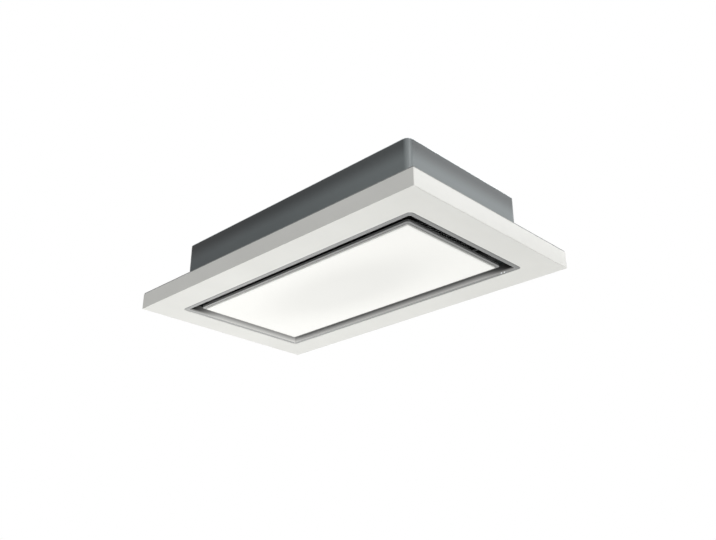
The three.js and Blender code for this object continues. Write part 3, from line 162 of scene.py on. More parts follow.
def make_floor():
    half = FLOOR_SIZE / 2
    corners = [(-half, -half, 0), (half, -half, 0), (half, half, 0), (-half, half, 0)]
    data = bpy.data.meshes.new("floor")
    data.from_pydata(corners, [], [(0, 1, 2, 3)])
    floor = bpy.data.objects.new("floor", data)
    floor.location.z = FLOOR_HEIGHT
    bpy.context.scene.collection.objects.link(floor)
    paint = bpy.data.materials.new("pale floor")
    paint.use_nodes = True
    shader = paint.node_tree.nodes["Principled BSDF"]
    shader.inputs["Base Color"].default_value = srgb("f4f4f2")
    shader.inputs["Roughness"].default_value = 0.9
    shader.inputs["Emission Color"].default_value = srgb("ffffff")
    add(
        paint.node_tree,
        "ShaderNodeMath",
        {0: seen_directly(paint.node_tree), 1: FLOOR_LIFT},
        to=shader.inputs["Emission Strength"],
        operation="MULTIPLY",
    )
    data.materials.append(paint)


def make_lights():
    for name, place, aim, width, height, power in SOFT_BOXES:
        data = bpy.data.lights.new(name, "AREA")
        data.shape = "RECTANGLE"
        data.size = width
        data.size_y = height
        data.energy = power
        lamp = bpy.data.objects.new(name, data)
        lamp.location = place
        lamp.rotation_euler = (Vector(aim) - Vector(place)).to_track_quat("-Z", "Y").to_euler()
        lamp.visible_camera = False
        bpy.context.scene.collection.objects.link(lamp)


# ---- Finishes: what they share ----

NOISE_LOW, NOISE_HIGH = 0.35, 0.65  # most of a noise's values lie between these
LINES_LOW, LINES_HIGH = 0.3, 0.7
LINES_GLOSSY, LINES_DULL = 0.28, 0.46  # roughness across brushed or rolled lines


def new_finish(name, colour, roughness, metallic=0.0, **sockets):
    """A material, its node tree, its shader, and places on the hood in mm. Values that are the
    same all over are set on the shader's own sockets."""
    finish = bpy.data.materials.new(name)
    finish.use_nodes = True
    tree = finish.node_tree
    shader = tree.nodes["Principled BSDF"]
    shader.inputs["Base Color"].default_value = srgb(colour)
    shader.inputs["Roughness"].default_value = roughness
    shader.inputs["Metallic"].default_value = metallic
    for socket, value in sockets.items():
        shader.inputs[socket.replace("_", " ")].default_value = value
    place = add(tree, "ShaderNodeTexCoord").outputs["Object"]
    scaled = add(tree, "ShaderNodeVectorMath", {0: place, "Scale": 1 / MM}, operation="SCALE")
    return finish, tree, shader, scaled.outputs[0]


def wander(tree, mm, size, dark, light):
    """A colour that wanders between two sRGB values over patches of a size in mm."""
    patches = add(tree, "ShaderNodeTexNoise", {"Vector": mm, "Scale": 1 / size, "Detail": 3.0})
    share = add(
        tree,
        "ShaderNodeMapRange",
        {"Value": patches.outputs[0], "From Min": NOISE_LOW, "From Max": NOISE_HIGH},
    )
    tint = add(
        tree,
        "ShaderNodeMix",
        {"Factor": share.outputs[0], "A": srgb(dark), "B": srgb(light)},
        data_type="RGBA",
    )
    return tint.outputs["Result"]


def fine_relief(tree, shader, mm, size, depth):
    """Relief of a size and depth in mm. Grain finer than half a millimetre is too fine to show,
    so it is drawn at 0.6 to 0.9 mm."""
    grain = add(tree, "ShaderNodeTexNoise", {"Vector": mm, "Scale": 1 / size, "Detail": 2.0})
    add(
        tree,
        "ShaderNodeBump",
        {"Height": grain.outputs[0], "Distance": depth * MM},
        to=shader.inputs["Normal"],
    )


def drawn_lines(tree, shader, mm, stretch, pitch, depth):
    """The lines that brushing or rolling leaves, in the sheen and as relief. Real ones are about a
    tenth of a millimetre apart, too fine to show, so they are drawn about a millimetre apart."""
    stretched = add(tree, "ShaderNodeVectorMath", {0: mm, 1: stretch}, operation="MULTIPLY")
    lines = add(
        tree,
        "ShaderNodeTexNoise",
        {"Vector": stretched.outputs[0], "Scale": 1 / pitch, "Detail": 3.0},
    )
    add(
        tree,
        "ShaderNodeMapRange",
        {
            "Value": lines.outputs[0],
            "From Min": LINES_LOW,
            "From Max": LINES_HIGH,
            "To Min": LINES_GLOSSY,
            "To Max": LINES_DULL,
        },
        to=shader.inputs["Roughness"],
    )
    add(
        tree,
        "ShaderNodeBump",
        {"Height": lines.outputs[0], "Distance": depth * MM},
        to=shader.inputs["Normal"],
    )


# ---- Finishes: surround, seal and casing ----


def white_powder_coat():
    # Polyester powder baked on steel: warm satin white, with a faint orange peel in its sheen.
    finish, tree, shader, mm = new_finish("white powder coat", "e6e6e2", 0.42, IOR=1.5)
    tree.links.new(wander(tree, mm, 260, "e3e3df", "e8e8e4"), shader.inputs["Base Color"])
    fine_relief(tree, shader, mm, 2.2, 0.02)
    return finish


def closed_cell_foam():
    # Polyethylene sealing strip: matt grey with round cells of about a millimetre.
    finish, tree, shader, mm = new_finish("closed-cell foam", "9b9d9c", 0.95)
    tree.links.new(wander(tree, mm, 14, "8f9190", "a7a9a8"), shader.inputs["Base Color"])
    cells = add(tree, "ShaderNodeTexVoronoi", {"Vector": mm, "Scale": 1 / 1.3})
    add(
        tree,
        "ShaderNodeBump",
        {"Height": cells.outputs["Distance"], "Distance": 0.35 * MM},
        to=shader.inputs["Normal"],
    )
    return finish


CASING_HALF = Vector((502, 250, 0))  # mm
CASING_BEND = 20  # mm, the radius of the casing's upright bends
# Painted shade darkens the casing's coat towards the lid between these heights.
PAINTED_SHADE_BOTTOM, PAINTED_SHADE_TOP = 105, 162  # mm above the ceiling plane
# A painted highlight on the casing's bends:
PAINTED_BEND_HIGHLIGHT = 0.85  # how far a bend's tone goes to the pale one


def painted_bend_highlight(tree, mm, along):
    """A painted highlight: how much paler the coat is drawn on the casing's bends, most halfway
    round one, and more towards the right end."""
    reach = add(tree, "ShaderNodeVectorMath", {0: mm}, operation="ABSOLUTE")
    start = (CASING_HALF.x - CASING_BEND, CASING_HALF.y - CASING_BEND, 0.0)
    past_start = add(
        tree, "ShaderNodeVectorMath", {0: reach.outputs[0], 1: start}, operation="SUBTRACT"
    )
    bend = add(
        tree,
        "ShaderNodeVectorMath",
        {0: past_start.outputs[0], 1: (0.0, 0.0, 0.0)},
        operation="MAXIMUM",
    )
    sides = add(tree, "ShaderNodeSeparateXYZ", {"Vector": bend.outputs[0]})
    both = add(
        tree,
        "ShaderNodeMath",
        {0: sides.outputs["X"], 1: sides.outputs["Y"]},
        operation="MULTIPLY",
    )
    halfway = CASING_BEND**2 / 2
    round_bend = add(
        tree,
        "ShaderNodeMapRange",
        {"Value": both.outputs[0], "From Max": halfway, "To Max": PAINTED_BEND_HIGHLIGHT},
    )
    return add(
        tree, "ShaderNodeMath", {0: round_bend.outputs[0], 1: along}, operation="MULTIPLY"
    ).outputs[0]


def grey_powder_coat():
    # Slate-grey semi-gloss powder on the casing, with a fine peel. Painted shade draws it darker
    # towards the lid and the left end, and a painted highlight draws the right end's bends paler.
    finish, tree, shader, mm = new_finish(
        "grey powder coat", "5c6366", 0.3, Specular_IOR_Level=0.2
    )
    parts = add(tree, "ShaderNodeSeparateXYZ", {"Vector": mm})
    rise = add(
        tree,
        "ShaderNodeMapRange",
        {"Value": parts.outputs["Z"], "From Min": PAINTED_SHADE_BOTTOM, "From Max": PAINTED_SHADE_TOP},
        interpolation_type="SMOOTHSTEP",
    )
    # Painted shade along X: the coat is drawn darker towards the left end and paler towards the
    # right.
    along = add(
        tree,
        "ShaderNodeMapRange",
        {"Value": parts.outputs["X"], "From Min": -CASING_HALF.x, "From Max": CASING_HALF.x},
    ).outputs[0]
    tone, painted_shade_tone = (
        add(
            tree,
            "ShaderNodeMix",
            {"Factor": along, "A": left, "B": right},
            data_type="RGBA",
        ).outputs["Result"]
        for left, right in (
            (wander(tree, mm, 180, "51585b", "596062"), srgb("70787a")),
            (srgb("1c2023"), srgb("3a4042")),
        )
    )
    # Painted shade: the coat is drawn darker towards the lid.
    painted_shade_mix = add(
        tree,
        "ShaderNodeMix",
        {"Factor": rise.outputs[0], "A": tone, "B": painted_shade_tone},
        data_type="RGBA",
    )
    # Painted highlight: the bends are drawn paler.
    add(
        tree,
        "ShaderNodeMix",
        {
            "Factor": painted_bend_highlight(tree, mm, along),
            "A": painted_shade_mix.outputs["Result"],
            "B": srgb("a4aaac"),
        },
        to=shader.inputs["Base Color"],
        data_type="RGBA",
    )
    fine_relief(tree, shader, mm, 1.6, 0.012)
    return finish


# ---- Finishes: the intake's trim and the panel's rim ----

MITRE = 251  # mm: past this, |x| - |y| is on an end of the trim or of the panel's rim
WALL_X = 490  # mm from the middle to the intake's end walls
WALL_Y = 238
# A wall's face, and its corner of 5 mm radius, lie from 1.7 mm inside these to 0.3 mm outside.
WALL_FACE, WALL_MARGIN = -0.7, 1.0
# Painted light: a glow on the intake's walls for the light that the panel spills on them.
SPILL_AT_ENDS = 0.22
SPILL_AT_SIDES = 0.045
SPILL_LOW = 0.32  # more of it at a wall's lower edge
SPILL_BOTTOM, SPILL_TOP = -57, -42
# Painted shade at two corners of the intake's walls, drawn in the trim's colour.
DIM_FAR, DIM_NEAR = -140, -5  # mm from a dim corner, over which its wall gets its own tone back
DIM_BOTTOM, DIM_TOP = -56, -49
DIM_LOW = 0.4  # share of the dimness at a wall's lower edge
BEVEL = 10.5  # mm outward from the wall, where the lip's bevel starts
BEVEL_EDGE = 0.5  # mm to each side of that, over which its shade comes up
# Painted shade on the lip's bevels along the front and the right.
PAINTED_BEVEL_SHADE = 0.35
FACING_LOW, FACING_HIGH = 0.05, 0.15


def painted_corner_shade(tree, parts, from_corner, on_wall):
    """Painted shade: two opposite corners of the intake are drawn dark, where its wall would mirror
    only the dark gap round the panel, and less so at the wall's lower edge."""
    quarter = add(
        tree, "ShaderNodeMath", {0: parts.outputs["X"], 1: parts.outputs["Y"]}, operation="MULTIPLY"
    )
    at_dim = add(tree, "ShaderNodeMath", {0: quarter.outputs[0], 1: 0.0}, operation="GREATER_THAN")
    nearness = add(
        tree,
        "ShaderNodeMapRange",
        {"Value": from_corner, "From Min": DIM_FAR, "From Max": DIM_NEAR},
        interpolation_type="SMOOTHSTEP",
    )
    height = add(
        tree,
        "ShaderNodeMapRange",
        {
            "Value": parts.outputs["Z"],
            "From Min": DIM_BOTTOM,
            "From Max": DIM_TOP,
            "To Min": DIM_LOW,
        },
    )
    painted_dim = on_wall
    for share in (at_dim, nearness, height):
        painted_dim = add(
            tree, "ShaderNodeMath", {0: painted_dim, 1: share.outputs[0]}, operation="MULTIPLY"
        ).outputs[0]
    return painted_dim


def painted_bevel_shade(tree, past_wall):
    """Painted shade: the lip's bevels are drawn darker along the front and the right, where they
    would mirror the floor.
    """
    bevel = add(
        tree,
        "ShaderNodeMapRange",
        {
            "Value": past_wall,
            "From Min": BEVEL - BEVEL_EDGE,
            "From Max": BEVEL + BEVEL_EDGE,
            "To Max": PAINTED_BEVEL_SHADE,
        },
    )
    geometry = add(tree, "ShaderNodeNewGeometry")
    facing = add(
        tree,
        "ShaderNodeVectorMath",
        {0: geometry.outputs["Normal"], 1: (1.0, -1.0, 0.0)},
        operation="DOT_PRODUCT",
    )
    front_or_right = add(
        tree,
        "ShaderNodeMapRange",
        {"Value": facing.outputs["Value"], "From Min": FACING_LOW, "From Max": FACING_HIGH},
    )
    return add(
        tree,
        "ShaderNodeMath",
        {0: bevel.outputs[0], 1: front_or_right.outputs[0]},
        operation="MULTIPLY",
    ).outputs[0]


def painted_panel_glow(tree, parts, at_end):
    """Painted light: a glow that stands in for the light the panel spills on the intake's walls,
    most at its two lit ends and low down.
    """
    low = add(
        tree,
        "ShaderNodeMapRange",
        {
            "Value": parts.outputs["Z"],
            "From Min": SPILL_BOTTOM,
            "From Max": SPILL_TOP,
            "To Min": SPILL_LOW,
            "To Max": 0,
        },
    )
    by_side = add(
        tree,
        "ShaderNodeMapRange",
        {"Value": at_end, "To Min": SPILL_AT_SIDES, "To Max": SPILL_AT_ENDS},
    )
    return add(
        tree, "ShaderNodeMath", {0: low.outputs[0], 1: by_side.outputs[0]}, operation="ADD"
    ).outputs[0]


def brushed_stainless():
    # Stainless sheet brushed along each side up to mitred corners: the lines stretch its
    # highlights, and a satin share of it scatters, so that it stays pale beside the dark gap.
    # Painted shade darkens it towards the right end, at two corners of its walls and on its lips'
    # bevels along the front and the right, and a painted glow on its walls stands for the light
    # that the panel spills.
    finish, tree, shader, mm = new_finish(
        "brushed stainless steel", "9fa0a0", 0.36, metallic=0.4
    )
    parts = add(tree, "ShaderNodeSeparateXYZ", {"Vector": mm})
    along, across = (
        add(tree, "ShaderNodeMath", {0: parts.outputs[axis]}, operation="ABSOLUTE").outputs[0]
        for axis in ("X", "Y")
    )
    lead = add(tree, "ShaderNodeMath", {0: along, 1: across}, operation="SUBTRACT")
    at_end = add(
        tree, "ShaderNodeMath", {0: lead.outputs[0], 1: MITRE}, operation="GREATER_THAN"
    ).outputs[0]
    stretch = add(
        tree,
        "ShaderNodeMix",
        {"Factor": at_end, "A": (0.02, 1.0, 1.0), "B": (1.0, 0.02, 1.0)},
        data_type="VECTOR",
    )
    drawn_lines(tree, shader, mm, stretch.outputs["Result"], 0.7, 0.02)

    past_end = add(tree, "ShaderNodeMath", {0: along, 1: WALL_X}, operation="SUBTRACT")
    past_side = add(tree, "ShaderNodeMath", {0: across, 1: WALL_Y}, operation="SUBTRACT")
    past_wall, from_corner = (
        add(
            tree,
            "ShaderNodeMath",
            {0: past_end.outputs[0], 1: past_side.outputs[0]},
            operation=which,
        ).outputs[0]
        for which in ("MAXIMUM", "MINIMUM")
    )
    on_wall = add(
        tree,
        "ShaderNodeMath",
        {0: past_wall, 1: WALL_FACE, 2: WALL_MARGIN},
        operation="COMPARE",
    ).outputs[0]
    painted_dim = painted_corner_shade(tree, parts, from_corner, on_wall)
    # Painted shade: the corners' and bevels' darkness goes towards near black.
    painted_darkness = add(
        tree, "ShaderNodeMath", {0: painted_dim, 1: painted_bevel_shade(tree, past_wall)}, operation="MAXIMUM"
    )
    # Painted shade along X: the trim is drawn paler at the left end and darker towards the right.
    across_hood = add(
        tree,
        "ShaderNodeMapRange",
        {"Value": parts.outputs["X"], "From Min": -WALL_X, "From Max": WALL_X},
    )
    painted_sheen = add(
        tree,
        "ShaderNodeMix",
        {"Factor": across_hood.outputs[0], "A": srgb("b1b2b1"), "B": srgb("8d8e8e")},
        data_type="RGBA",
    )
    add(
        tree,
        "ShaderNodeMix",
        {"Factor": painted_darkness.outputs[0], "A": painted_sheen.outputs["Result"], "B": srgb("1c1c1c")},
        to=shader.inputs["Base Color"],
        data_type="RGBA",
    )
    # The walls glow with painted light, except where painted shade darkens them.
    painted_glow_share = add(tree, "ShaderNodeMath", {0: on_wall, 1: painted_dim}, operation="SUBTRACT")
    shader.inputs["Emission Color"].default_value = srgb("fffefa")
    add(
        tree,
        "ShaderNodeMath",
        {0: painted_panel_glow(tree, parts, at_end), 1: painted_glow_share.outputs[0]},
        to=shader.inputs["Emission Strength"],
        operation="MULTIPLY",
    )
    return finish


# ---- Finishes: the lit panel ----

# Light enters at the panel's two ends, so its middle glows a little less.
GLOW_AT_ENDS = 0.25
GLOW_IN_MIDDLE = 0.14
GLOW_FROM, GLOW_TO = 0.3, 1.1  # share of the way from the middle to an edge
# Its cut edge glows two thirds as much as its face: the glow comes up over these mm, outside the
# edge and inside it.
GLOW_OUTSIDE, GLOW_INSIDE = -16, 10


def opal_acrylic():
    # Satin opal acrylic: milk white, lit from the strips at its ends.
    finish, tree, shader, mm = new_finish("opal acrylic", "dcdcd9", 0.38, IOR=1.49)
    low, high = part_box("diffuser")
    half = (high - low) / 2 / MM
    parts = add(tree, "ShaderNodeSeparateXYZ", {"Vector": mm})
    margins = []
    for axis, reach in (("X", half.x), ("Y", half.y)):
        out = add(tree, "ShaderNodeMath", {0: parts.outputs[axis]}, operation="ABSOLUTE")
        margins.append(
            add(tree, "ShaderNodeMath", {0: reach, 1: out.outputs[0]}, operation="SUBTRACT")
        )
    margin = add(
        tree,
        "ShaderNodeMath",
        {0: margins[0].outputs[0], 1: margins[1].outputs[0]},
        operation="MINIMUM",
    )
    inside = add(
        tree,
        "ShaderNodeMapRange",
        {"Value": margin.outputs[0], "From Min": GLOW_OUTSIDE, "From Max": GLOW_INSIDE},
        interpolation_type="SMOOTHSTEP",
    )
    share = add(
        tree,
        "ShaderNodeVectorMath",
        {0: mm, 1: (1 / half.x, 1 / half.y, 0.0)},
        operation="MULTIPLY",
    )
    spread = add(tree, "ShaderNodeVectorMath", {0: share.outputs[0]}, operation="LENGTH")
    glow = add(
        tree,
        "ShaderNodeMapRange",
        {
            "Value": spread.outputs["Value"],
            "From Min": GLOW_FROM,
            "From Max": GLOW_TO,
            "To Min": GLOW_IN_MIDDLE,
            "To Max": GLOW_AT_ENDS,
        },
        interpolation_type="SMOOTHSTEP",
    )
    shader.inputs["Emission Color"].default_value = srgb("fffefa")
    add(
        tree,
        "ShaderNodeMath",
        {0: glow.outputs[0], 1: inside.outputs[0]},
        to=shader.inputs["Emission Strength"],
        operation="MULTIPLY",
    )
    add(
        tree,
        "ShaderNodeMix",
        {"Factor": inside.outputs[0], "A": srgb("cdcdca"), "B": srgb("dcdcd9")},
        to=shader.inputs["Base Color"],
        data_type="RGBA",
    )
    fine_relief(tree, shader, mm, 0.6, 0.006)
    return finish


# ---- Finishes: everything behind the panel ----


def galvanised_sheet():
    # Hot-dip zinc: crystals about a centimetre across, each reflecting a little differently.
    finish, tree, shader, mm = new_finish("galvanised sheet steel", "a4a9ac", 0.4, metallic=1.0)
    spangle = add(tree, "ShaderNodeTexVoronoi", {"Vector": mm, "Scale": 1 / 11, "Detail": 1.0})
    tone = add(tree, "ShaderNodeSeparateColor", {"Color": spangle.outputs["Color"]})
    add(
        tree,
        "ShaderNodeMix",
        {"Factor": tone.outputs["Red"], "A": srgb("979ca0"), "B": srgb("b1b5b8")},
        to=shader.inputs["Base Color"],
        data_type="RGBA",
    )
    add(
        tree,
        "ShaderNodeMapRange",
        {"Value": tone.outputs["Green"], "To Min": 0.32, "To Max": 0.5},
        to=shader.inputs["Roughness"],
    )
    return finish


def matt_black_enamel():
    # Baked black enamel on the filter deck, matt so that the gap round the panel reads as a void.
    finish, tree, shader, mm = new_finish("matt black enamel", "1a1b1c", 0.62)
    tree.links.new(wander(tree, mm, 90, "171819", "1e1f20"), shader.inputs["Base Color"])
    fine_relief(tree, shader, mm, 0.8, 0.02)
    return finish


def mill_aluminium():
    # Rolled aluminium as it leaves the mill: faint rolling lines and a soft grey sheen.
    finish, tree, shader, mm = new_finish("mill aluminium", "c4c7c9", 0.36, metallic=1.0)
    drawn_lines(tree, shader, mm, (1.0, 0.03, 1.0), 1.2, 0.01)
    return finish


def moulded_plastic(name, colour, dark, light):
    # Moulded ABS with a spark-eroded grain: dull, with a broken sheen.
    finish, tree, shader, mm = new_finish(name, colour, 0.5, IOR=1.53)
    tree.links.new(wander(tree, mm, 60, dark, light), shader.inputs["Base Color"])
    fine_relief(tree, shader, mm, 0.9, 0.03)
    return finish


def indicator_lens():
    # Clear polycarbonate light pipe, lit cool white from the board behind it.
    finish, tree, shader, mm = new_finish("clear polycarbonate", "eef4f8", 0.12, IOR=1.58)
    ripple = add(tree, "ShaderNodeTexNoise", {"Vector": mm, "Scale": 1 / 1.5})
    shader.inputs["Emission Color"].default_value = srgb("f6faff")
    add(
        tree,
        "ShaderNodeMapRange",
        {"Value": ripple.outputs[0], "To Min": 0.8, "To Max": 1.2},
        to=shader.inputs["Emission Strength"],
    )
    return finish


def solder_mask():
    # Green solder mask over copper: tracks about a millimetre wide show lighter through it.
    finish, tree, shader, mm = new_finish("green solder mask", "1f5a3a", 0.35, IOR=1.5)
    add(
        tree,
        "ShaderNodeTexBrick",
        {
            "Vector": mm,
            "Color1": srgb("2c6d48"),
            "Color2": srgb("28663f"),
            "Mortar": srgb("174a2e"),
            "Scale": 1.0,
            "Mortar Size": 0.35,
            "Brick Width": 6.0,
            "Row Height": 1.6,
        },
        to=shader.inputs["Base Color"],
    )
    return finish


def turned_steel():
    # Bright zinc-plated steel, turned or cold-headed: fine marks break up its mirror. They are
    # drawn half a millimetre apart, since real ones are too fine to show.
    finish, tree, shader, mm = new_finish("turned steel", "b6b8ba", 0.28, metallic=1.0)
    marks = add(tree, "ShaderNodeTexNoise", {"Vector": mm, "Scale": 1 / 0.5, "Detail": 2.0})
    add(
        tree,
        "ShaderNodeMapRange",
        {"Value": marks.outputs[0], "To Min": 0.2, "To Max": 0.36},
        to=shader.inputs["Roughness"],
    )
    return finish


FINISHES = {
    "white_enamel": white_powder_coat(),
    "seal_foam": closed_cell_foam(),
    "grey_enamel": grey_powder_coat(),
    "brushed_steel": brushed_stainless(),
    "zinc_steel": galvanised_sheet(),
    "black_enamel": matt_black_enamel(),
    "opal_acrylic": opal_acrylic(),
    "aluminium": mill_aluminium(),
    "black_plastic": moulded_plastic("black ABS", "1f2022", "1b1c1e", "242528"),
    "grey_plastic": moulded_plastic("grey ABS", "8f9294", "898c8e", "959899"),
    "clear_lens": indicator_lens(),
    "circuit_board": solder_mask(),
    "turned_steel": turned_steel(),
}


# ---- CAD nodes ----

SMOOTH_ANGLE = math.radians(32)
WELD = 0.01  # mm


def smooth_by_angle():
    """A modifier's node group that shades smooth across edges flatter than an angle."""
    group = bpy.data.node_groups.new("smooth_by_angle", "GeometryNodeTree")
    group.interface.new_socket("Geometry", in_out="INPUT", socket_type="NodeSocketGeometry")
    group.interface.new_socket("Geometry", in_out="OUTPUT", socket_type="NodeSocketGeometry")
    source = add(group, "NodeGroupInput")
    angle = add(group, "GeometryNodeInputMeshEdgeAngle")
    sharp = add(
        group,
        "FunctionNodeCompare",
        {0: angle.outputs["Unsigned Angle"], 1: SMOOTH_ANGLE},
        data_type="FLOAT",
        operation="GREATER_THAN",
    )
    welded = add(
        group,
        "GeometryNodeMergeByDistance",
        {"Geometry": source.outputs[0], "Distance": WELD * MM},
    )
    faces = add(
        group,
        "GeometryNodeSetShadeSmooth",
        {"Geometry": welded.outputs[0], "Shade Smooth": True},
        domain="FACE",
    )
    edges = add(
        group,
        "GeometryNodeSetShadeSmooth",
        {"Geometry": faces.outputs[0], "Selection": sharp.outputs[0], "Shade Smooth": False},
        domain="EDGE",
    )
    add(group, "NodeGroupOutput", {0: edges.outputs[0]})
    return group


SMOOTHING = smooth_by_angle()


def shade(item):
    """Smooth shading that leaves flat faces flat up to their rounded edges."""
    item.modifiers.new("smooth", "NODES").node_group = SMOOTHING
    item.modifiers.new("flat faces", "WEIGHTED_NORMAL").keep_sharp = True


def dress_frame():
    slots = {part["node"]: part["material_slot"] for part in frame["record"]["subparts"]}
    for name, node in frame["nodes"].items():
        node.data.materials.clear()
        node.data.materials.append(FINISHES[slots[name]])
        shade(node)


# ---- Shaping, in mm ----

UP, DOWN, REAR, LEFT = (0, 0, 1), (0, 0, -1), (0, 1, 0), (-1, 0, 0)
ENDS = (-1, 1)


def stand(place, outward=UP, turn=0.0):
    """Where a piece drawn on +Z stands: at a place, pointing outward, turned in radians."""
    facing = Vector(outward).to_track_quat("Z", "Y").to_matrix().to_4x4()
    return Matrix.Translation(Vector(place) * MM) @ facing @ Matrix.Rotation(turn, 4, "Z")


def circle(radius, height, steps, start=0.0):
    angles = [start + 2 * math.pi * i / steps for i in range(steps)]
    return [(radius * math.cos(a), radius * math.sin(a), height) for a in angles]


def rounded(length, depth, radius, height, steps):
    """A rectangle round the origin with rounded corners, of so many steps each."""
    points = []
    for corner, (x, y) in enumerate(((1, 1), (-1, 1), (-1, -1), (1, -1))):
        for step in range(steps + 1):
            a = math.radians(90 * (corner + step / steps))
            points.append(
                (
                    x * (length / 2 - radius) + radius * math.cos(a),
                    y * (depth / 2 - radius) + radius * math.sin(a),
                    height,
                )
            )
    return points


def loft(mesh, rings, place=Matrix(), closed=False):
    """Skins rings of points, and closes the ends or joins the last ring to the first."""
    loops = [[mesh.verts.new(place @ (Vector(p) * MM)) for p in ring] for ring in rings]
    pairs = list(zip(loops, loops[1:]))
    if closed:
        pairs.append((loops[-1], loops[0]))
    else:
        mesh.faces.new(loops[0][::-1])
        mesh.faces.new(loops[-1])
    for one, two in pairs:
        for i, corner in enumerate(one):
            j = (i + 1) % len(one)
            mesh.faces.new((corner, one[j], two[j], two[i]))


def new_piece(name, mesh, body, slot, replaced=()):
    """A piece from its mesh, with its slot's finish, riding its body, and standing for the nodes
    that it replaces."""
    bmesh.ops.recalc_face_normals(mesh, faces=mesh.faces)
    data = bpy.data.meshes.new(name)
    mesh.to_mesh(data)
    mesh.free()
    data.materials.append(FINISHES[slot])
    piece = bpy.data.objects.new(name, data)
    bpy.context.scene.collection.objects.link(piece)
    shade(piece)
    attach(piece, body)
    if replaced:
        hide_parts(*replaced)
    return piece


# ---- Screws and rivets ----

HEAD_STEPS = 24
HEAD_TURN = 0.7  # radians from one head to the next, as screws end up by hand

# A head's radius and height.
HANGER_HEAD = (4.2, 2.6)
FOOT_HEAD = (4.2, 2.4)
CLAMP_HEAD = (4.0, 2.4)
MOTOR_HEAD = (3.4, 2.2)
SHEET_HEAD = (3.4, 2.0)
INLET_HEAD = (3.2, 1.9)
COLLAR_HEAD = (2.1, 1.3)
SEAM_RIVET = (2.4, 1.0)
SHEET_RIVET = (2.0, 0.8)

# Where they sit on the frame's pieces. The last of each group is a height.
HANGER_X, HANGER_Y, HANGER_SPACING, HANGER_FOOT = 381, 150, 10, 176.8
LID_REAR_X, LID_LEFT_Y, LID_LIP = (-440, -300, 0, 220, 440), (-190, -20), 169.6
CLAMP_X, CLAMP_SPACING, CLAMP_FACE, CLAMP_HEIGHT = 330, 10, 252.3, 16
BOX_MIDDLE, BOX_CORNER, BOX_COVER = (330, -95), (83, 48), 126.5
BLOWER_FEET, BLOWER_FOOT = 87, 171.0
INLET_CIRCLE, INLET_FLANGE = 84, 34.0
MOTOR_CIRCLE, MOTOR_FLANGE = 57, 142.3
HINGE_X, HINGE_Y, HINGE_SPACING, DECK = 300, 196, 15, -14.3
CATCH_Y, MAGNET_SPACING = -187.5, 14.5  # under the deck too
COVER_X, COVER_Y, COVER_TOP = (-385, -192, 0, 192, 385), 138, -37.2
PLATE_SPACING, PLATE_TOP = 11.5, -40.7
ARM_Y, ARM_TOP = 178.5, -40.2
FILTER_PITCH, FILTER_X, FILTER_Y, FILTER_UNDERSIDE = 308, 137.6, 134.6, -12

BLOWER_X = -60
CASING_END = -502
OUTLET_Y, OUTLET_Z = 114.105, 91.3
COLLAR_CIRCLE, COLLAR_FLANGE = 77.1, 2.3


def pan_head(mesh, place, radius, height):
    """A pan head with a cross recess, as a tapping screw's."""
    arm, reach = 0.16 * radius, 0.55 * radius
    corners = []
    for quarter in range(4):
        spin = Matrix.Rotation(quarter * math.pi / 2, 3, "Z")
        corners += [spin @ Vector(c) for c in ((reach, arm, 0), (arm, arm, 0), (arm, reach, 0))]
    cross = []
    for i, corner in enumerate(corners):
        cross += [corner, (corner + corners[(i + 1) % len(corners)]) / 2]
    start = 2 * math.pi / HEAD_STEPS
    rings = [
        circle(share * radius, rise * height, HEAD_STEPS, start)
        for share, rise in ((1, 0), (1, 0.35), (0.92, 0.7), (0.72, 0.95), (0.6, 1))
    ]
    rings.append([(c.x, c.y, height) for c in cross])
    rings.append([(0.7 * c.x, 0.7 * c.y, 0.35 * height) for c in cross])
    loft(mesh, rings, place)


def rivet_head(mesh, place, radius, height):
    """A low dome, as a blind rivet's."""
    rings = [
        circle(share * radius, rise * height, HEAD_STEPS // 2)
        for share, rise in ((1, 0), (1, 0.2), (0.85, 0.7), (0.45, 1))
    ]
    loft(mesh, rings, place)


def fasteners(name, head, body, size, outward, places):
    """Heads of one size, each turned a little further than the last."""
    mesh = bmesh.new()
    for i, place in enumerate(places):
        head(mesh, stand(place, outward, HEAD_TURN * i), *size)
    new_piece(name, mesh, body, "turned_steel")


def around_blower(radius, height, count):
    """Places on a circle round the blower's shaft."""
    angles = [math.pi / count + 2 * math.pi * i / count for i in range(count)]
    return [(BLOWER_X + radius * math.cos(a), radius * math.sin(a), height) for a in angles]


def fasten_casing():
    feet = [
        (HANGER_X * a, HANGER_Y * b + HANGER_SPACING * c, HANGER_FOOT)
        for a, b, c in product(ENDS, repeat=3)
    ]
    fasteners("hanger_screws", pan_head, "root", HANGER_HEAD, UP, feet)
    rear_lip = [(x, CASING_HALF.y, LID_LIP) for x in LID_REAR_X]
    fasteners("lid_rear_screws", pan_head, "root", SHEET_HEAD, REAR, rear_lip)
    left_lip = [(CASING_END, y, LID_LIP) for y in LID_LEFT_Y]
    fasteners("lid_left_screws", pan_head, "root", SHEET_HEAD, LEFT, left_lip)
    for side, y in (("rear", CLAMP_FACE), ("front", -CLAMP_FACE)):
        legs = [(CLAMP_X * a + CLAMP_SPACING * b, y, CLAMP_HEIGHT) for a, b in product(ENDS, ENDS)]
        fasteners(f"clamp_{side}_screws", pan_head, "root", CLAMP_HEAD, (0, y, 0), legs)
    turns = [math.radians(22.5 + 45 * i) for i in range(8)]
    flange = [
        (
            CASING_END - COLLAR_FLANGE,
            OUTLET_Y + COLLAR_CIRCLE * math.cos(a),
            OUTLET_Z + COLLAR_CIRCLE * math.sin(a),
        )
        for a in turns
    ]
    fasteners("collar_screws", pan_head, "root", COLLAR_HEAD, LEFT, flange)


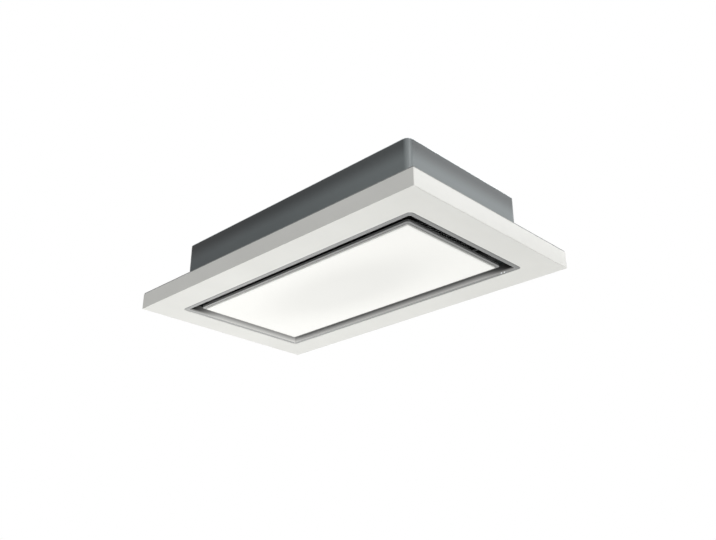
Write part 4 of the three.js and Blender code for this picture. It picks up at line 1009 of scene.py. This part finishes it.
def fasten_inside():
    corners = [
        (BOX_MIDDLE[0] + BOX_CORNER[0] * a, BOX_MIDDLE[1] + BOX_CORNER[1] * b, BOX_COVER)
        for a, b in product(ENDS, ENDS)
    ]
    fasteners("control_box_screws", pan_head, "root", SHEET_HEAD, DOWN, corners)
    feet = around_blower(BLOWER_FEET, BLOWER_FOOT, 4)
    fasteners("blower_foot_screws", pan_head, "root", FOOT_HEAD, DOWN, feet)
    mouth = around_blower(INLET_CIRCLE, INLET_FLANGE, 6)
    fasteners("inlet_screws", pan_head, "root", INLET_HEAD, DOWN, mouth)
    can = around_blower(MOTOR_CIRCLE, MOTOR_FLANGE, 4)
    fasteners("motor_screws", pan_head, "root", MOTOR_HEAD, DOWN, can)
    under_deck = [
        (HINGE_X * a + spacing * b, y, DECK)
        for y, spacing in ((HINGE_Y, HINGE_SPACING), (CATCH_Y, MAGNET_SPACING))
        for a, b in product(ENDS, ENDS)
    ]
    fasteners("bracket_screws", pan_head, "root", SHEET_HEAD, DOWN, under_deck)


def fasten_panel_and_filters():
    cover = [(x, y, COVER_TOP) for x in COVER_X for y in (-COVER_Y, COVER_Y)]
    fasteners("panel_cover_screws", pan_head, "panel", SHEET_HEAD, UP, cover)
    plates = [
        (HINGE_X * a + PLATE_SPACING * b, CATCH_Y, PLATE_TOP) for a, b in product(ENDS, ENDS)
    ]
    arms = [(HINGE_X * a, ARM_Y, ARM_TOP) for a in ENDS]
    fasteners("panel_rivets", rivet_head, "panel", SHEET_RIVET, UP, plates + arms)
    for i in range(3):
        middle = (i - 1) * FILTER_PITCH
        rims = [
            (middle + FILTER_X * a, FILTER_Y * b, FILTER_UNDERSIDE) for a, b in product(ENDS, ENDS)
        ]
        name = f"filter_{i + 1}"
        fasteners(f"{name}_rivets", rivet_head, name, SHEET_RIVET, DOWN, rims)


# ---- Casing: its lapped seam, and the gland in its lid ----

SEAM_X = -150
SEAM_HALF = 13
SEAM_BOTTOM, SEAM_TOP = 2, 165
SEAM_FOOT = 249.9  # a tenth of a millimetre inside the wall
SEAM_SHEET = 1.3
SEAM_EDGE = 0.4  # the rounding of its cut edge
SEAM_RIVETS, SEAM_RIVET_LOW, SEAM_RIVET_PITCH = 7, 14, 23


def casing_seam():
    # The wrapped wall laps over itself once, at the rear, and is riveted there.
    mesh = bmesh.new()
    lap = []
    for out, inset in ((0, 0), (SEAM_SHEET - SEAM_EDGE, 0), (SEAM_SHEET, SEAM_EDGE)):
        half, low, high = SEAM_HALF - inset, SEAM_BOTTOM + inset, SEAM_TOP - inset
        outline = ((-half, low), (half, low), (half, high), (-half, high))
        lap.append([(SEAM_X + x, SEAM_FOOT + out, z) for x, z in outline])
    loft(mesh, lap)
    new_piece("casing_seam", mesh, "root", "grey_enamel")
    row = [
        (SEAM_X, SEAM_FOOT + SEAM_SHEET, SEAM_RIVET_LOW + SEAM_RIVET_PITCH * i)
        for i in range(SEAM_RIVETS)
    ]
    fasteners("casing_seam_rivets", rivet_head, "root", SEAM_RIVET, REAR, row)


GLAND_PLACE = (330, 150, 174.3)
GLAND_STEPS = 48
GLAND_BORE = 5.0
THREAD_TOP, THREAD_BOTTOM, THREAD_PITCH, THREAD_TURNS = -1.8, -11.4, 1.2, 8
THREAD_ROOT, THREAD_CREST = 9.1, 9.9


def cable_gland():
    # Moulded gland: a hexagon, a fluted dome nut over the sealing ring, and a threaded tail below
    # the lid.
    mesh = bmesh.new()
    place = stand(GLAND_PLACE)
    hexagon = [circle(r, z, 6) for r, z in ((12.6, 0), (13.8, 0.8), (13.8, 5.6), (12.8, 6.5))]
    loft(mesh, hexagon, place)
    nut = []
    for radius, height, flute in (
        (10.6, 6.5, 0.0),
        (10.9, 7.2, 0.5),
        (10.7, 13.2, 0.5),
        (9.2, 15.8, 0.2),
    ):
        radii = [radius - flute * (i % 4 < 2) for i in range(GLAND_STEPS)]
        round_nut = circle(1, 0, GLAND_STEPS)
        nut.append([(r * c, r * s, height) for r, (c, s, _) in zip(radii, round_nut)])
    mouth = ((7.8, 17.3), (7.0, 17.7), (6.4, 17.4), (5.6, 15.2), (GLAND_BORE, 10.0))
    for radius, height in (*mouth, (GLAND_BORE, 6.5)):
        nut.append(circle(radius, height, GLAND_STEPS))
    loft(mesh, nut, place, closed=True)
    thread = [circle(GLAND_BORE, z, GLAND_STEPS) for z in (THREAD_TOP, THREAD_BOTTOM)]
    for turn in range(THREAD_TURNS):
        low = THREAD_BOTTOM + THREAD_PITCH * turn
        thread.append(circle(THREAD_ROOT, low, GLAND_STEPS))
        thread.append(circle(THREAD_CREST, low + THREAD_PITCH / 2, GLAND_STEPS))
    thread.append(circle(THREAD_ROOT, THREAD_TOP, GLAND_STEPS))
    loft(mesh, thread, place, closed=True)
    new_piece("gland_body", mesh, "root", "grey_plastic", ["cable_gland"])


# ---- Outlet collar and damper springs ----

COLLAR_STEPS = 96
COLLAR_BORE = 73
COLLAR_RADIUS = 74.5
COLLAR_RIBS = 12
BEAD_STEPS, BEAD_RISE, BEAD_HALF, BEAD_FROM_CASING = 8, 1.4, 3, 51
RIB_HALF = 0.8


def outlet_collar():
    # Injection-moulded spigot: a turned form with a rounded bead for the duct's clamp, and ribs
    # that brace it against its flange.
    mesh = bmesh.new()
    place = stand((CASING_END, OUTLET_Y, OUTLET_Z), LEFT)
    sweep = [math.pi * i / BEAD_STEPS for i in range(BEAD_STEPS + 1)]
    bead = [
        (COLLAR_RADIUS + BEAD_RISE * math.sin(a), BEAD_FROM_CASING - BEAD_HALF * math.cos(a))
        for a in sweep
    ]
    # Radius, and distance out from the casing's end.
    profile = [
        (COLLAR_BORE, -32),
        (COLLAR_RADIUS, -32),
        (COLLAR_RADIUS, 0.3),
        (79.2, 0.3),
        (79.5, 0.6),
        (79.5, 2.0),
        (79.2, COLLAR_FLANGE),
        (75.3, COLLAR_FLANGE),
        (COLLAR_RADIUS, 3.1),
        *bead,
        (COLLAR_RADIUS, 59.3),
        (74.1, 60),
        (73.4, 60),
        (COLLAR_BORE, 59.5),
        (COLLAR_BORE, -20.8),
        (70.5, -20.8),
        (70.5, -23.8),
        (COLLAR_BORE, -23.8),
    ]
    loft(mesh, [circle(r, z, COLLAR_STEPS) for r, z in profile], place, closed=True)
    rib = ((74.2, 2.2), (78.6, 2.2), (78.2, 3.2), (75.0, 13), (74.2, 13))
    sides = [[(r, y, z) for r, z in rib] for y in (-RIB_HALF, RIB_HALF)]
    for i in range(COLLAR_RIBS):
        loft(mesh, sides, place @ Matrix.Rotation(2 * math.pi * i / COLLAR_RIBS, 4, "Z"))
    new_piece("outlet_spigot", mesh, "root", "black_plastic", ["outlet_collar"])


DAMPER_PIN = (-482, 114.1, OUTLET_Z)
SPRING_TURNS, SPRING_STEPS, WIRE_STEPS = 6, 16, 8
SPRING_RADIUS, WIRE_RADIUS = 2.9, 0.5
SPRING_START, SPRING_PITCH = 56, 1.3  # from the pin's middle


def damper_springs():
    # A light coil of wire round each end of the pin, inside the flaps' roots.
    mesh = bmesh.new()
    upright = Vector(UP)
    wire = [2 * math.pi * k / WIRE_STEPS for k in range(WIRE_STEPS)]
    for end in ENDS:
        rings = []
        for i in range(SPRING_TURNS * SPRING_STEPS + 1):
            angle = 2 * math.pi * i / SPRING_STEPS
            across = Vector((math.cos(angle), math.sin(angle), 0))
            height = end * (SPRING_START + SPRING_PITCH * i / SPRING_STEPS)
            middle = SPRING_RADIUS * across + height * upright
            round_wire = [math.cos(a) * across + math.sin(a) * upright for a in wire]
            rings.append([middle + WIRE_RADIUS * out for out in round_wire])
        loft(mesh, rings, stand(DAMPER_PIN))
    new_piece("damper_springs", mesh, "root", "turned_steel")


# ---- Blower mouth ----

MOUTH_STEPS, MOUTH_BEND_STEPS = 96, 10
MOUTH_BASE = 37.3  # height of the scroll's floor
MOUTH_THROAT, MOUTH_FLARE, MOUTH_SHEET = 71.0, 14.0, 1.5
MOUTH_UNDER = -1.8
MOUTH_TOP = 11.25
MOUTH_FLANGE = 92
MOUTH_EDGE = 0.4  # the rounding of its cut edges


def inlet_mouth():
    # Spun bell mouth: its lip rolls round in one quarter turn, and a flat flange takes its screws.
    mesh = bmesh.new()
    wall = MOUTH_THROAT + MOUTH_SHEET
    face = MOUTH_UNDER - MOUTH_SHEET
    rim = MOUTH_TOP - 0.35
    bend = [math.pi / 2 * i / MOUTH_BEND_STEPS for i in range(MOUTH_BEND_STEPS + 1)]
    inner = [
        (MOUTH_THROAT + MOUTH_FLARE * (1 - math.sin(a)), face - MOUTH_FLARE * math.cos(a))
        for a in bend
    ]
    outer = [(r + MOUTH_SHEET, z) for r, z in reversed(inner)]
    profile = [
        *inner,
        (MOUTH_THROAT, rim),
        (MOUTH_THROAT + MOUTH_EDGE, MOUTH_TOP),
        (wall - MOUTH_EDGE, MOUTH_TOP),
        (wall, rim),
        (wall, MOUTH_UNDER),
        (MOUTH_FLANGE - MOUTH_EDGE, MOUTH_UNDER),
        (MOUTH_FLANGE, MOUTH_UNDER - MOUTH_EDGE),
        (MOUTH_FLANGE, face + MOUTH_EDGE),
        (MOUTH_FLANGE - MOUTH_EDGE, face),
        (wall + MOUTH_SHEET, face),
        *outer[1:],
    ]
    rings = [circle(r, z, MOUTH_STEPS) for r, z in profile]
    loft(mesh, rings, stand((BLOWER_X, 0, MOUTH_BASE)), closed=True)
    new_piece("spun_inlet", mesh, "root", "zinc_steel", ["inlet_ring"])


# ---- Panel: its rim's folded edge, and the diodes on its light strips ----

RIM_LENGTH, RIM_DEPTH, RIM_CORNER, RIM_STEPS = 918, 418, 10, 8
# How far in from the rim's outline, and height.
RIM_FOLD = ((0, -49.5), (0, -45.2), (0.3, -44.8), (0.8, -44.8), (1.1, -45.2), (1.1, -49.5))


def rim_upstand():
    # The steel rim's edge is folded up all round, which stiffens it.
    mesh = bmesh.new()
    rings = [
        rounded(RIM_LENGTH - 2 * inset, RIM_DEPTH - 2 * inset, RIM_CORNER - inset, z, RIM_STEPS)
        for inset, z in RIM_FOLD
    ]
    loft(mesh, rings, closed=True)
    new_piece("rim_upstand", mesh, "panel", "brushed_steel")


DIODES, DIODE_PITCH = 30, 12
DIODE_WIDTH, DIODE_LENGTH, DIODE_CORNER = 3.0, 5.0, 0.4
# How far in from a diode's outline, and distance out from the strip.
DIODE_FORM = ((0, 0), (0, 0.5), (0.4, 0.8))
STRIP_X, STRIP_Z = 434, -46.9


def diodes():
    # Moulded packages on the strips' legs, facing the acrylic's ends.
    mesh = bmesh.new()
    package = [
        rounded(DIODE_WIDTH - 2 * inset, DIODE_LENGTH - 2 * inset, DIODE_CORNER, z, 1)
        for inset, z in DIODE_FORM
    ]
    for end in ENDS:
        for i in range(DIODES):
            y = DIODE_PITCH * (i - (DIODES - 1) / 2)
            loft(mesh, package, stand((end * STRIP_X, y, STRIP_Z), (-end, 0, 0)))
    new_piece("strip_diodes", mesh, "panel", "opal_acrylic")


# ---- Grease filters: expanded metal, pleated ----

PLEAT = 8.8  # from a fold to the next, which is also a diamond's width
DIAMOND_HALF_HEIGHT = 5.99
PLEAT_LOW, PLEAT_HIGH = -9.8, -4.2
MESH_COLUMNS, MESH_ROWS = 31, 22  # half diamonds to each side of the middle
LATCH_HALF, LATCH_Y = 24, -100  # the part that the latch takes up at the front
STRAND = 0.75  # from a diamond's edge to its hole
STRAND_SHEET = 0.7


def expanded_mesh():
    """Diamonds 8.8 by 12 mm with their middles cut out, folded up and down along X."""
    mesh = bmesh.new()
    half_x, half_y = PLEAT / 2, DIAMOND_HALF_HEIGHT
    corners = {}

    def corner(i, j):
        if (i, j) not in corners:
            corners[i, j] = mesh.verts.new((i * half_x * MM, j * half_y * MM, 0))
        return corners[i, j]

    for i in range(-MESH_COLUMNS, MESH_COLUMNS + 1):
        for j in range(-MESH_ROWS, MESH_ROWS + 1):
            at_latch = abs(i * half_x) < LATCH_HALF and j * half_y < LATCH_Y
            if (i + j) % 2 and not at_latch:
                diamond = (corner(i - 1, j), corner(i, j - 1), corner(i + 1, j), corner(i, j + 1))
                mesh.faces.new(diamond)
    mesh.normal_update()
    holes = mesh.faces[:]
    bmesh.ops.inset_individual(mesh, faces=holes, thickness=STRAND * MM, use_even_offset=True)
    bmesh.ops.delete(mesh, geom=holes, context="FACES")
    for vert in mesh.verts:
        fold = abs(vert.co.x / MM / PLEAT) % 2
        vert.co.z = (PLEAT_LOW + (PLEAT_HIGH - PLEAT_LOW) * (1 - abs(1 - fold))) * MM
    return mesh


def filter_meshes():
    for i in range(3):
        mesh = expanded_mesh()
        bmesh.ops.translate(mesh, verts=mesh.verts, vec=((i - 1) * FILTER_PITCH * MM, 0, 0))
        name = f"filter_{i + 1}"
        piece = new_piece(f"{name}_expanded_metal", mesh, name, "aluminium", [f"{name}_mesh"])
        sheet = piece.modifiers.new("sheet", "SOLIDIFY")
        sheet.thickness = STRAND_SHEET * MM
        sheet.offset = 0


make_camera()
make_world()
make_floor()
make_lights()
dress_frame()
fasten_casing()
fasten_inside()
fasten_panel_and_filters()
casing_seam()
cable_gland()
outlet_collar()
damper_springs()
inlet_mouth()
rim_upstand()
diodes()
filter_meshes()
